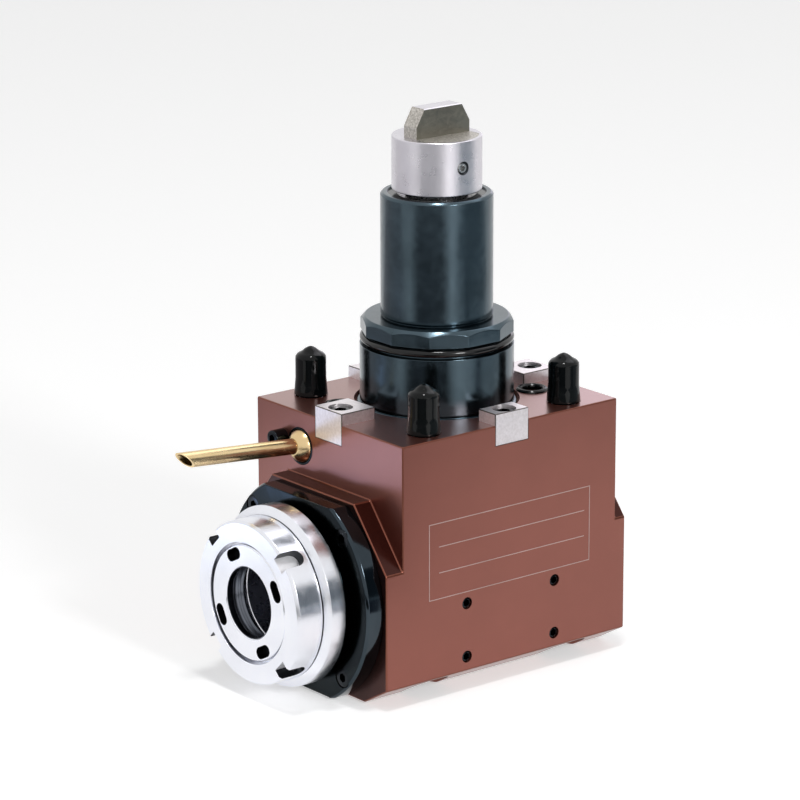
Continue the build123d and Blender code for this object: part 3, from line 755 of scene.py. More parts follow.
# Painted shade: a near black tone that tools leave in holes, slots and grooves
RECESS_PAINTED_SHADE = Turned("recess_painted_shade", (0.040, 0.043, 0.048), (0.026, 0.028, 0.032), (0.28, 0.40),
                     **SPINDLE_AXIS)
# Painted shade: a darker, slightly rougher copy of the bright steel for the collet taper
TAPER_PAINTED_SHADE = Turned("taper_painted_shade", (0.42, 0.43, 0.48), (0.32, 0.33, 0.37), (0.24, 0.32), **SPINDLE_AXIS)
# Painted shade: a dark copy of the bright steel, with real lathe rings, for the nut's bore and the ring in it
BORE_RINGS_PAINTED_SHADE = Turned("bore_rings_painted_shade", (0.17, 0.18, 0.21), (0.11, 0.12, 0.14), (0.18, 0.26),
                     line_depth=0.000006, **SPINDLE_AXIS)
TOOL_STEEL = Finish("tool_steel", (0.19, 0.18, 0.15), (0.25, 0.24, 0.20), (0.34, 0.46), grain_scale=1800.0,
                    grain_depth=0.000003)
TOOL_ROUGH = Finish("sawn_steel", (0.32, 0.30, 0.27), (0.62, 0.59, 0.55), (0.40, 0.55), drift_scale=1500.0,
                    grain_scale=2600.0, grain_depth=0.00002)
NICKEL = Finish("nickel_plate", (0.84, 0.79, 0.81), (0.74, 0.69, 0.70), (0.36, 0.44), drift_scale=900.0,
                grain_scale=1900.0, grain_depth=0.000003)
# Painted shade: a near black tone for the keys' rounded edges that draws a dark outline round each key
KEY_EDGE_PAINTED_SHADE = Finish("key_edge_painted_shade", (0.16, 0.14, 0.13), (0.10, 0.09, 0.08), (0.30, 0.40))
SCREW_BLACK = Finish("black_screw", (0.030, 0.034, 0.038), (0.018, 0.021, 0.024), (0.16, 0.26))
SCREW_BRIGHT = Finish("bright_screw", (0.62, 0.62, 0.62), (0.50, 0.50, 0.50), (0.20, 0.30))
HARD_STEEL = Finish("hardened_steel", (0.50, 0.50, 0.51), (0.42, 0.42, 0.43), (0.20, 0.32))
CAGE_BRASS = Finish("cage_brass", (0.70, 0.50, 0.22), (0.60, 0.42, 0.18), (0.30, 0.42))
NOZZLE_BRASS = Finish("polished_brass", (0.78, 0.60, 0.34), (0.68, 0.50, 0.26), (0.20, 0.28),
                      grain_depth=0.000002)
RUBBER = Finish("seal_rubber", (0.0020, 0.0022, 0.0025), (0.004, 0.004, 0.004), (0.10, 0.16), metallic=0.0,
                specular=0.35, grain_depth=0.000002)
VINYL = Coated("black_vinyl", (0.0010, 0.0016, 0.0020), (0.002, 0.003, 0.003), (0.06, 0.10), specular=0.20,
               coat=0.0, grain_depth=0.000003)
MARKING = Coated("pale_marking", (0.46, 0.32, 0.30), (0.38, 0.26, 0.24), (0.40, 0.50), coat=0.1)


def coat(piece: Piece, *finishes: Finish) -> Piece:
    """Give a piece its finishes, the main one first.

    Args:
        piece: The piece or the tool, which leaves its finish on what it cuts.
        *finishes: The finishes in the order of the piece's materials.

    Returns:
        The same piece.
    """
    piece.data.materials.clear()
    for finish in finishes:
        piece.data.materials.append(finish.material())
    return piece


def repaint(piece: Piece, finish: Finish, chosen: Callable[[Vector, Vector], bool]) -> None:
    """Give another finish to the faces of a piece that a test chooses.

    Args:
        piece: A piece that has its first finish already.
        finish: The other finish.
        chosen: Says of a face's normal and its centre whether it is meant.
    """
    piece.data.materials.append(finish.material())
    index = len(piece.data.materials) - 1
    for face in piece.data.polygons:
        if chosen(face.normal, face.center):
            face.material_index = index


def mount(piece: Piece, finish: Finish, slot: Slot, body: Body, *nodes: str) -> None:
    """Finish a piece, hang it on its body and hide the nodes that it stands for.

    Args:
        piece: The finished mesh, which keeps the finishes that it already has.
        finish: Its finish if it has none.
        slot: Not used.
        body: The body that it rides on.
        *nodes: The frame's nodes that it stands for.
    """
    smooth(piece)
    if not any(piece.data.materials):
        coat(piece, finish)
    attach(piece, body.value)
    if nodes:
        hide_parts(*nodes)
    log.info("%s: %d faces", piece.name, len(piece.data.polygons))


# The holder's pieces


@dataclass
class SocketScrew:
    """A socket head screw with its head above z = 0 and its thread below.

    The thread's depth is a share of its pitch, and the socket's floor a share of the head's height.
    """

    thread_radius: float
    length: float
    head_radius: float
    head_height: float
    socket: float
    edge: float = 0.0004
    pitch: float = 0.0008
    thread_depth: float = 0.6
    socket_floor: float = 0.4

    def thread(self) -> list[Point2]:
        """List the ridges of the thread, from its end up to the head.

        Returns:
            Radius and height of each corner.
        """
        count = round(self.length / self.pitch)
        root = self.thread_radius - self.thread_depth * self.pitch
        ridges = []
        for i in range(count):
            start = -self.length + i * self.pitch
            ridges += [(root, start), (self.thread_radius, start + 0.5 * self.pitch)]
        return ridges + [(root, 0.0)]

    def build(self, name: str) -> Piece:
        """Turn the screw and sink its socket.

        Args:
            name: The new piece's name.

        Returns:
            The screw at the origin.
        """
        radius, height, edge = self.head_radius, self.head_height, self.edge
        head = [(radius, 0.0), (radius, height - edge), (radius - 0.3 * edge, height - 0.3 * edge)]
        screw = turn_solid(name, [*self.thread(), *head, (radius - edge, height)], SMALL_STEPS)
        return cut(screw, hexagon_socket(self.socket, height * self.socket_floor, height + OVER))


@dataclass
class SunkScrews:
    """Equal small socket head screws, each at the bottom of a well."""

    name: str
    places: list[Matrix]
    well_radius: float = 0.0037
    well_depth: float = 0.0042
    hole: float = 0.0021
    hole_depth: float = 0.02

    def wells(self) -> Piece:
        """Make the tool for the wells and the holes under them.

        Returns:
            The tool.
        """
        hole, well, floor = self.hole, self.well_radius, -self.well_depth
        steps = [(hole, -self.hole_depth), (hole, floor), (well, floor), (well, OVER)]
        return spread(turn_solid("well", steps, SMALL_STEPS), "wells", self.places)

    def screws(self) -> Piece:
        """Set a screw into each well."""
        screw = SocketScrew(0.002, 0.012, 0.0035, 0.004, 0.003).build("small screw")
        return spread(screw, self.name, [place @ upright(0, 0, -self.well_depth) for place in self.places])


@dataclass
class Housing:
    """The coated block with its two bosses and every bore in it."""

    side_bottom: float = -0.0872
    foot_half_width: float = 0.029
    boss_top: float = -0.0232
    boss_top_half: float = 0.0235
    boss_shoulder: float = -0.0452
    edge: float = 0.0005
    bolt_hole: float = 0.0055
    bolt_mouth: float = 0.0062
    bolt_well: float = 0.0085
    bolt_well_top: float = -0.0765
    port_radius: float = 0.0036
    port_depth: float = 0.016
    port_well: Point2 = (0.00595, 0.0012)
    pocket_reach: float = 0.06
    plug_hole: Point2 = (0.002, 0.009)
    set_screw_hole: Point2 = (0.0022, 0.008)
    spindle_bore: tuple[Point2, ...] = (
        (0.0235, -0.058), (0.0235, -0.0255), (0.0226, -0.0255), (0.0226, 0), (0.017, 0.003), (0.017, 0.029),
        (0.021, 0.029), (0.021, 0.0476), (0.030, 0.0476), (0.030, 0.055))
    drive_bore: tuple[Point2, ...] = (
        (0.0226, SPINDLE_HEIGHT), (0.0226, -0.032), (0.0275, -0.032), (0.0275, -0.003), (0.0296, -0.003),
        (0.0296, OVER))
    nozzle_bore: tuple[Point2, ...] = (
        (0.003, -0.0161), (0.003, -0.0093), (0.0067, -0.0093), (0.0067, -0.0016), (0.00685, -0.0016),
        (0.00685, OVER))

    def blank(self) -> Piece:
        """Shape the outside: a block with a boss that stands out at both ends.

        Returns:
            The solid blank with rounded edges.
        """
        low, high, half = BODY_LOW, BODY_HIGH, LAYOUT.block_half
        tall = block("housing_shell", (low.x, -half, self.side_bottom), (high.x, half, 0))
        boss = block("boss", low, (high.x, high.y, self.boss_top))
        top_slant = (self.boss_top - self.boss_shoulder, high.x - self.boss_top_half)
        foot_slant = (self.side_bottom - low.z, self.foot_half_width - high.x)
        for side in (-1, 1):
            trim(boss, (side * high.x, 0, self.boss_shoulder), (side * top_slant[0], 0, top_slant[1]))
            trim(boss, (side * high.x, 0, self.side_bottom), (side * foot_slant[0], 0, foot_slant[1]))
        blank = coat(combine(tall, boss, "UNION"), PAINTED, BODY_EDGE_PAINTED_LIGHT)
        # The bosses' ends, tops and upper slants take painted shade
        repaint(blank, BOSS_PAINTED_SHADE, self.on_boss_painted_shade)
        # The rounded edges take the painted light of the edge tone
        return round_edges(blank, self.edge, 3, material=1)

    def on_boss_painted_shade(self, normal: Vector, centre: Vector) -> bool:
        """Say whether a face takes the bosses' painted shade: an end, a top or an upper slant."""
        return abs(centre.y) > LAYOUT.block_half + 0.0002 and abs(normal.x) < 0.9 and normal.z > -0.3

    def great_bores(self) -> list[Piece]:
        """Make the tools for the bores along the spindle and down from the seat face."""
        spindle = settle(turn_solid("spindle bore", self.spindle_bore), SPINDLE_FRAME)
        return [spindle, turn_solid("drive bore", self.drive_bore)]

    def bolt_holes(self) -> Piece:
        """Make the tool for the four bolt holes with their head wells.

        Returns:
            The tool.
        """
        well, hole, mouth, low = self.bolt_well, self.bolt_hole, self.bolt_mouth, BODY_LOW.z - OVER
        steps = [(well, low), (well, self.bolt_well_top), (hole, self.bolt_well_top)]
        steps += [(hole, -(mouth - hole)), (mouth + OVER, OVER)]
        return spread(turn_solid("bolt hole", steps, MIDDLE_STEPS), "bolt holes", LAYOUT.bolts())

    def port_holes(self) -> Piece:
        """Make the tool for the two coolant ports with their seal wells.

        Returns:
            The tool.
        """
        well, floor = self.port_well[0], -self.port_well[1]
        steps = [(self.port_radius, -self.port_depth), (self.port_radius, floor), (well, floor), (well, OVER)]
        return spread(turn_solid("port", steps, MIDDLE_STEPS), "ports", LAYOUT.ports())

    def key_pockets(self) -> list[Piece]:
        """Make the four tools for the keys' pockets.

        Returns:
            The four tools.
        """
        keys, reach = Keys(), self.pocket_reach
        corners = keys.spans(reach, reach).values()
        return [block("key pocket", (*low, keys.bottom), (*high, OVER)) for low, high in corners]

    def small_holes(self) -> list[Piece]:
        """Make the tools for the ball's socket, the plug's hole and the set screws' holes.

        Returns:
            The three tools.
        """
        (plug, plug_depth), (screw, screw_depth) = self.plug_hole, self.set_screw_hole
        side_hole = rod("tapped hole", screw, -screw_depth, OVER)
        return [
            settle(turn_solid("nozzle socket", self.nozzle_bore, MIDDLE_STEPS), LAYOUT.nozzle_face()),
            settle(rod("plug hole", plug, -plug_depth, OVER), LAYOUT.plug_face()),
            spread(side_hole, "set screw holes", LAYOUT.set_screws()),
        ]

    def build(self) -> Piece:
        """Cut the bores and pockets out of the blank.

        Returns:
            The housing.
        """
        shell = self.blank()
        cut(shell, *self.great_bores(), self.bolt_holes(), *self.key_pockets())
        return cut(shell, self.port_holes(), *self.small_holes())

    def dress(self) -> None:
        """Build the housing and give it its coat."""
        mount(self.build(), PAINTED, Slot.PAINTED, Body.HOLDER, "housing")


@dataclass
class DataFrame:
    """The blank ruled frame marked on the right side."""

    back: float = 0.0366
    front: float = -0.0374
    top: float = -0.0302
    bottom: float = -0.0581
    line: float = 0.0003
    depth: float = 0.00004
    rules: tuple[float, ...] = (-0.0390, -0.0485)
    rule_front: float = -0.0329
    rule_back: float = 0.0340

    def bar(self, front: float, back: float, low: float, high: float) -> Piece:
        """Make one ruled line as a thin bar on the side."""
        x = BODY_HIGH.x
        return block("data_frame", (x - self.depth, front, low), (x + self.depth, back, high))

    def build(self) -> Piece:
        """Draw the outer frame and the two rules.

        Returns:
            The lines as one piece.
        """
        outer = self.bar(self.front, self.back, self.bottom, self.top)
        line, x = self.line, BODY_HIGH.x
        window = block("window", (x - OVER, self.front + line, self.bottom + line),
                       (x + OVER, self.back - line, self.top - line))
        lines = cut(outer, window)
        for height in self.rules:
            rule = self.bar(self.rule_front, self.rule_back, height - line / 2, height + line / 2)
            combine(lines, rule, "UNION")
        return lines

    def dress(self) -> None:
        """Build the lines and give them their pale finish."""
        mount(self.build(), MARKING, Slot.PAINTED, Body.HOLDER)


@dataclass
class ShankSleeve:
    """Flange, pilot, groove, wrench flats and shank."""

    pilot: float = 0.0275
    pilot_foot: float = -0.032
    flange: float = 0.0286
    flange_low: float = -0.003
    flange_high: float = -0.0003
    flange_chamfer: float = 0.0004
    groove: float = 0.0249
    groove_low: float = 0.0209
    groove_high: float = 0.0250
    seal_wire: float = 0.0013
    wrench: float = 0.0274
    wrench_top: float = 0.0308
    wrench_bevel: float = 0.0018
    wrench_turn: float = math.radians(15)
    wrench_edge: float = 0.00018
    undercut: float = 0.0193
    undercut_top: float = 0.0311
    step: float = 0.0005
    shank: float = 0.020
    top: float = 0.0755
    top_chamfer: float = 0.0008
    edge: float = 0.0002
    bore: tuple[Point2, ...] = (
        (0.0175, 0.060), (0.0145, 0.057), (0.0160, 0.004), (0.0205, -0.006), (0.0235, -0.006))

    def build(self) -> Piece:
        """Turn the sleeve and add the ring of twelve flats.

        Returns:
            The sleeve.
        """
        pilot, flange, shank, shoulder = self.pilot, self.flange, self.shank, self.groove_high + self.step
        low, high, chamfer = self.flange_low, self.flange_high, self.flange_chamfer
        profile = [(self.bore[-1][0], self.pilot_foot), (pilot, self.pilot_foot), (pilot, low), (flange, low)]
        profile += [(flange, high - chamfer), (flange - chamfer, high), (pilot, high)]
        profile += [(pilot, self.groove_low), (self.groove, self.groove_low), (self.groove, shoulder)]
        profile += [(self.undercut, shoulder), (self.undercut, self.undercut_top)]
        profile += [(shank, self.undercut_top + self.step), (shank, self.top - self.top_chamfer)]
        profile += [(shank - self.top_chamfer, self.top), (self.bore[0][0], self.top), *self.bore]
        sleeve = round_edges(turn("shank_body", profile), self.edge)
        return combine(sleeve, self.wrench_ring(), "UNION")

    def wrench_ring(self) -> Piece:
        """Shape the ring of flats with its bevelled corners.

        Returns:
            The ring.
        """
        radius, low, top, bevel = self.wrench, self.groove_high, self.wrench_top, self.wrench_bevel
        ring = rod("wrench flats", radius, low, top, sides=12)
        settle(ring, Matrix.Rotation(self.wrench_turn, 4, "Z"))
        cone = [(radius + OVER, self.groove_low), (radius + OVER, low), (radius, top - bevel)]
        combine(ring, turn_solid("corner bevel", [*cone, (radius - bevel, top)]), "INTERSECT")
        return round_edges(ring, self.wrench_edge)

    def ring_seal(self) -> Piece:
        """Turn the seal that fills the pilot's groove."""
        middle = (self.groove + self.seal_wire, (self.groove_low + self.groove_high) / 2)
        return turn_ring("pilot_seal", middle, self.seal_wire, 16, ROUND_STEPS)

    def dress(self) -> None:
        """Build the sleeve with its seal and blacken it."""
        mount(self.build(), BLACK_STEEL, Slot.BLACK, Body.HOLDER, "shank_sleeve")
        mount(self.ring_seal(), RUBBER, Slot.RUBBER, Body.HOLDER, "shank_o_ring")


@dataclass
class DriveEnd:
    """Bright drum on the shaft's end, its set screw and the tang."""

    radius: float = 0.016
    bottom: float = 0.0766
    top: float = 0.0959
    edge: float = 0.00045
    shaft: float = 0.0085
    shaft_top: float = 0.090
    pocket: float = 0.091
    seat_inset: float = 0.0012
    seat_depth: float = 0.00004
    tang_half_thick: float = 0.0035
    tang_half_width: float = 0.012
    tang_shoulder: float = 0.100
    tang_top: float = 0.1063
    tang_edge: float = 0.0003
    tang_rounding: float = 0.00012
    tang_top_half: float = 0.0084
    screw_radius: float = 0.0020
    screw_mouth: float = 0.00245
    screw_height: float = 0.0864
    screw_turn: float = math.radians(-4)
    screw_recess: float = 0.0005
    screw_chamfer: float = 0.0004
    screw_socket: Point2 = (0.002, 0.003)
    hole_floor: float = 0.004
    countersink: Point2 = (0.0006, 0.0001)

    def screw_place(self) -> Matrix:
        """Place the set screw on the shaft's axis, its +Z outwards."""
        outward = (math.cos(self.screw_turn), math.sin(self.screw_turn), 0)
        return placement((0, 0, self.screw_height), (0, 0, 1), outward)

    def drum(self) -> Piece:
        """Turn the drum and cut the tang's pocket and the screw's hole.

        Returns:
            The drum.
        """
        steps = [(self.shaft, self.shaft_top), (self.shaft, self.bottom)]
        steps += [(self.radius, self.bottom), (self.radius, self.top)]
        drum = coat(round_edges(turn_solid("turned_drum", steps), self.edge, 3), BRIGHT_DRUM)
        thick, wide = self.tang_half_thick, self.tang_half_width
        pocket = block("pocket", (-thick, -wide, self.pocket), (thick, wide, self.top + OVER))
        return cut(drum, pocket, self.screw_hole(), self.milled_seat())

    def screw_hole(self) -> Piece:
        """Make the tool for the set screw's hole with its countersunk mouth.

        Returns:
            The tool, which leaves the hole dark with painted shade.
        """
        radius, mouth, out, (low, high) = self.screw_radius, self.screw_mouth, self.radius, self.countersink
        steps = [(radius, self.hole_floor), (radius, out - low), (mouth, out - high), (mouth, out + OVER)]
        return coat(settle(turn_solid("screw hole", steps, SMALL_STEPS), self.screw_place()), RECESS_PAINTED_SHADE)

    def milled_seat(self) -> Piece:
        """Make the tool for the rough seat that the cutter left beside the tang.

        Returns:
            The tool, which leaves the seat rough.
        """
        radius, floor = self.radius - self.seat_inset, self.top - self.seat_depth
        seat = rod("milled seat", radius, floor, self.top + OVER, ROUND_STEPS)
        for side in (-1, 1):
            trim(seat, (0, side * self.tang_half_width, 0), (0, side, 0))
        trim(seat, (0, 0, 0), (-1, 0, 0))
        return coat(seat, TOOL_ROUGH)

    def tang(self) -> Piece:
        """Shape the blade with its two sloping shoulders and bevelled top.

        Returns:
            The tang.
        """
        thick, wide = self.tang_half_thick, self.tang_half_width
        blade = block("driving_blade", (-thick, -wide, self.pocket), (thick, wide, self.tang_top))
        rise, run = self.tang_top - self.tang_shoulder, wide - self.tang_top_half
        for side in (-1, 1):
            trim(blade, (0, side * wide, self.tang_shoulder), (0, side * rise, run))
        for side in (-1, 1):
            trim(blade, (side * (thick - self.tang_edge), 0, self.tang_top), (side, 0, 1))
        coat(round_edges(blade, self.tang_rounding), TOOL_STEEL)
        repaint(blade, TOOL_ROUGH, lambda normal, centre: abs(normal.x) < 0.5)
        # Painted highlight: the tang's top and its bevels take the drum's bright tone
        repaint(blade, BRIGHT_DRUM, lambda normal, centre: normal.z > 0.5 and abs(normal.y) < 0.3)
        return blade

    def set_screw(self) -> Piece:
        """Turn the drum's set screw and sink its socket.

        Returns:
            The set screw.
        """
        radius, chamfer, outer = self.screw_radius, self.screw_chamfer, self.radius - self.screw_recess
        steps = [(radius, self.shaft), (radius, outer - chamfer), (radius - chamfer, outer)]
        across, depth = self.screw_socket
        screw = turn_solid("drum_screw", steps, SMALL_STEPS)
        cut(screw, hexagon_socket(across, outer - depth, outer + OVER))
        return settle(screw, self.screw_place())

    def dress(self) -> None:
        """Build the three pieces and give them their finishes."""
        mount(self.drum(), BRIGHT_DRUM, Slot.BRIGHT, Body.DRIVE, "coupling_drum")
        mount(self.tang(), TOOL_STEEL, Slot.TOOL, Body.DRIVE, "drive_tang")
        mount(self.set_screw(), SCREW_BRIGHT, Slot.SCREW, Body.DRIVE, "drum_set_screw")


@dataclass
class FrontCap:
    """Black flange with two flats, and its four screws."""

    radius: float = 0.040
    chamfer: float = 0.0008
    flat: float = 0.0348
    flat_reach: float = 0.05
    flat_span: Point2 = (-0.08, -0.04)
    face: float = -0.0634
    back: float = -0.0564
    hub: float = 0.0278
    hub_face: float = -0.0661
    spigot: float = 0.0235
    spigot_end: float = -0.051
    bore: float = 0.0185
    inside: tuple[Point2, ...] = (
        (0.018, -0.0661), (0.018, -0.062), (0.022, -0.062), (0.022, -0.0569), (0.0185, -0.0569))
    edge: float = 0.0003
    screw_offset: float = 0.0254

    def fixing(self) -> SunkScrews:
        """Place the four screws on the cap's face."""
        places = [on_front(x, SPINDLE_HEIGHT + z, self.face) for x, z in square(self.screw_offset)]
        return SunkScrews("flange_screws", places)

    def build(self) -> Piece:
        """Turn the cap, saw its flats and sink the screw wells.

        Returns:
            The cap.
        """
        radius, face, back, chamfer = self.radius, self.face, self.back, self.chamfer
        profile = [(self.bore, self.spigot_end), (self.spigot, self.spigot_end), (self.spigot, back)]
        profile += [(radius, back), (radius, face + chamfer), (radius - chamfer, face), (self.hub, face)]
        cap = turn("bearing_flange", [*profile, (self.hub, self.hub_face), *self.inside])
        reach, (low, high) = self.flat_reach, self.flat_span
        for side in (-1, 1):
            near, far = sorted((side * self.flat, side * reach))
            cut(cap, block("flat", (-reach, near, low), (reach, far, high)))
        coat(round_edges(settle(cap, SPINDLE_FRAME), self.edge), DARK_OXIDE_PAINTED_SHADE)
        cut(cap, self.fixing().wells())
        # The rim takes the lighter copy, a painted highlight; the face keeps the darker one, painted shade
        repaint(cap, RIM_OXIDE_PAINTED_HIGHLIGHT, self.on_rim)
        return cap

    def on_rim(self, normal: Vector, centre: Vector) -> bool:
        """Say whether a face belongs to the flange's rim."""
        return abs(normal.y) < 0.9 and self.face + 0.0001 < centre.y < self.back - 0.0002

    def dress(self) -> None:
        """Build the cap with its screws and blacken them."""
        mount(self.build(), DARK_OXIDE_PAINTED_SHADE, Slot.BLACK, Body.HOLDER, "front_bearing_cap")
        mount(self.fixing().screws(), SCREW_BLACK, Slot.SCREW, Body.HOLDER, "front_cap_screws")


@dataclass
class SpindleNose:
    """The spindle with its bright nose, spanner slots and collet taper."""

    nose: float = 0.0294
    front: float = -0.0852
    chamfer: float = 0.0009
    collar: float = 0.0325
    seam_span: Point2 = (-0.07475, -0.07435)
    seam_depth: float = 0.0006
    slot_width: float = 0.0061
    slot_length: float = 0.0087
    slot_depth: float = 0.0039
    slot_angle: float = math.radians(45)
    nut_recess: float = 0.0218
    nut_seat: float = -0.0817
    thread: float = 0.02006
    taper_mouth: float = 0.0162
    taper_end: float = 0.0112
    taper_front: float = -0.0736
    taper_back: float = -0.038
    taper_chamfer: float = 0.0005
    taper_shade_cut: float = 0.00002
    edge: float = 0.00012
    drill_bore: tuple[Point2, ...] = ((0, -0.030), (0.0085, -0.032), (0.0085, -0.038))
    behind_nose: tuple[Point2, ...] = (
        (0.0294, -0.0747), (0.0289, -0.0744), (0.0301, -0.0742), (0.0325, -0.0730), (0.0325, -0.0671),
        (0.0320, -0.0666), (0.0175, -0.0666), (0.0175, -0.0510), (0.015, -0.0510), (0.015, -0.0255),
        (0.012, -0.0255), (0.012, -0.01817), (0.0115, -0.01817), (0.0115, -0.01417), (0.0108, -0.01417),
        (0.0108, 0.030), (0.010, 0.030), (0.010, 0.0462), (0.0092, 0.047), (0, 0.047))

    def profile(self) -> list[Point2]:
        """List the spindle's outline in its own frame.

        Returns:
            Radius and height of each corner.
        """
        mouth, taper, seat, bevel = self.taper_mouth, self.taper_front, self.nut_seat, self.taper_chamfer
        bore = [*self.drill_bore, (self.taper_end, self.taper_back), (mouth, taper + bevel)]
        bore += [(mouth + bevel, taper), (self.thread, taper), (self.thread, seat), (self.nut_recess, seat)]
        face = [(self.nut_recess, self.front), (self.nose - self.chamfer, self.front)]
        return [*bore, *face, (self.nose, self.front + self.chamfer), *self.behind_nose]

    def slots(self) -> Piece:
        """Make the tool for the four spanner slots.

        Returns:
            The tool, which leaves the slots' walls dark with painted shade and their floor bright.
        """
        floor = self.nose - self.slot_depth
        tool = slot_tool(self.slot_width, 2 * self.slot_length, floor, self.nose + 3 * OVER)
        # The walls take painted shade; the floor stays bright
        coat(tool, RECESS_PAINTED_SHADE)
        repaint(tool, MILLED_FLOOR, lambda normal, centre: normal.z < -0.9)
        places = []
        for i in range(4):
            angle = self.slot_angle + i * FULL_TURN / 4
            outward = (math.cos(angle), math.sin(angle), 0)
            local = placement((0, 0, self.front), (-math.sin(angle), math.cos(angle), 0), outward)
            places.append(SPINDLE_FRAME @ local)
        return spread(tool, "spanner slots", places)

    def build(self) -> Piece:
        """Turn the spindle and mill its slots.

        Returns:
            The spindle.
        """
        spindle = coat(round_edges(turn("spindle_nose", self.profile()), self.edge), BRIGHT_NOSE)
        return cut(settle(spindle, SPINDLE_FRAME), self.slots(), self.painted_shade_taper(), self.seam())

    def seam(self) -> Piece:
        """Make the tool for the thin groove between nose and collar, darkened with painted shade.

        Returns:
            The tool.
        """
        (low, high), floor, out = self.seam_span, self.nose - self.seam_depth, self.collar + OVER
        groove = turn("seam", [(floor, low), (out, low), (out, high), (floor, high)])
        return coat(settle(groove, SPINDLE_FRAME), RECESS_PAINTED_SHADE)

    def painted_shade_taper(self) -> Piece:
        """Make the tool that takes a hair off the taper and leaves it darker with painted shade, and a little
        rougher.

        Returns:
            The tool.
        """
        start, end = self.taper_front + self.taper_chamfer, self.taper_back - 0.0005
        slope = (self.taper_mouth - self.taper_end) / (self.taper_back - start)
        wide = self.taper_mouth + self.taper_shade_cut
        taper = turn_solid("taper", [(wide, start), (wide - slope * (end - start), end)])
        return coat(settle(taper, SPINDLE_FRAME), TAPER_PAINTED_SHADE)

    def dress(self) -> None:
        """Build the spindle and leave it bright."""
        mount(self.build(), BRIGHT_NOSE, Slot.BRIGHT, Body.SPINDLE, "spindle")


@dataclass
class ColletNut:
    """Flush nut with four face slots, and the extractor ring in it."""

    front: float = -0.0848
    rim: float = 0.0209
    rim_back: float = -0.0819
    thread: float = 0.020
    back: float = -0.075
    bore: float = 0.0129
    ring: float = 0.017
    slot_radius: float = 0.0178
    slot_width: float = 0.0043
    slot_length: float = 0.0080
    slot_depth: float = 0.0032
    slot_angle: float = math.radians(27.5)
    pitch: float = 0.0015
    thread_depth: float = 0.0008
    play: float = 0.00008
    bore_chamfer: float = 0.0004
    rim_chamfer: float = 0.0005
    lip: float = 0.0016
    edge: float = 0.0001
    grip_grooves: int = 3
    grip_pitch: float = 0.0011
    grip_depth: float = 0.00055
    grip_edge: float = 0.00006

    def nut(self) -> Piece:
        """Turn the nut and mill its face slots.

        Returns:
            The nut.
        """
        bore, rim, front, rim_back = self.bore, self.rim, self.front, self.rim_back
        inner, lip, step = self.ring + self.play, bore + self.lip, rim_back + self.lip
        profile = [(bore, front + self.bore_chamfer), (bore + self.bore_chamfer, front)]
        profile += [(rim - self.rim_chamfer, front), (rim, front + self.rim_chamfer), (rim, rim_back)]
        root = self.thread - self.thread_depth
        for i in range(int((self.back - rim_back) / self.pitch)):
            start = rim_back + i * self.pitch
            profile += [(root, start + 0.0001), (self.thread, start + 0.5 * self.pitch)]
        profile += [(root, self.back), (inner, self.back), (inner, step), (lip, step)]
        profile += [(lip, rim_back + self.bore_chamfer), (bore, rim_back)]
        nut = coat(turn("flush_nut", profile), BRIGHT_NOSE)
        # The reamed bore takes painted shade with lathe rings
        reamer = rod("reamed bore", bore + MICRO, front + 0.0005, self.back, ROUND_STEPS)
        cut(nut, self.slots(), coat(reamer, BORE_RINGS_PAINTED_SHADE))
        return settle(round_edges(nut, self.edge), SPINDLE_FRAME)

    def slots(self) -> Piece:
        """Make the tool for the four face slots.

        Returns:
            The tool, which leaves the slots dark with painted shade.
        """
        tool = coat(slot_tool(self.slot_width, self.slot_length, -OVER, self.slot_depth), RECESS_PAINTED_SHADE)
        slot = upright(self.slot_radius, 0, self.front)
        angles = [-self.slot_angle - i * FULL_TURN / 4 for i in range(4)]
        return spread(tool, "face slots", [Matrix.Rotation(angle, 4, "Z") @ slot for angle in angles])

    def extractor(self) -> Piece:
        """Turn the ring that grips the collet's groove.

        Returns:
            The ring.
        """
        front, back = self.rim_back + 0.0017, self.back - 0.0002
        ridge, pitch = self.bore + 0.0010, self.grip_pitch
        profile = [(self.bore + 0.0026, front), (self.ring, front), (self.ring, back)]
        profile += [(self.bore + 0.0020, back), (ridge, back - 0.0014)]
        for i in range(self.grip_grooves):
            low = back - 0.0016 - i * pitch
            profile += [(ridge + self.grip_depth, low - pitch / 2), (ridge, low - 0.9 * pitch)]
        return settle(round_edges(turn("grip_ring", profile), self.grip_edge), SPINDLE_FRAME)

    def dress(self) -> None:
        """Build both: the nut bright, the extractor ring in the bore's painted shade."""
        mount(self.nut(), BRIGHT_NOSE, Slot.BRIGHT, Body.NUT, "collet_nut")
        # The extractor ring takes the bore's painted shade
        mount(self.extractor(), BORE_RINGS_PAINTED_SHADE, Slot.BRIGHT, Body.EXTRACTOR, "collet_nut_ring")


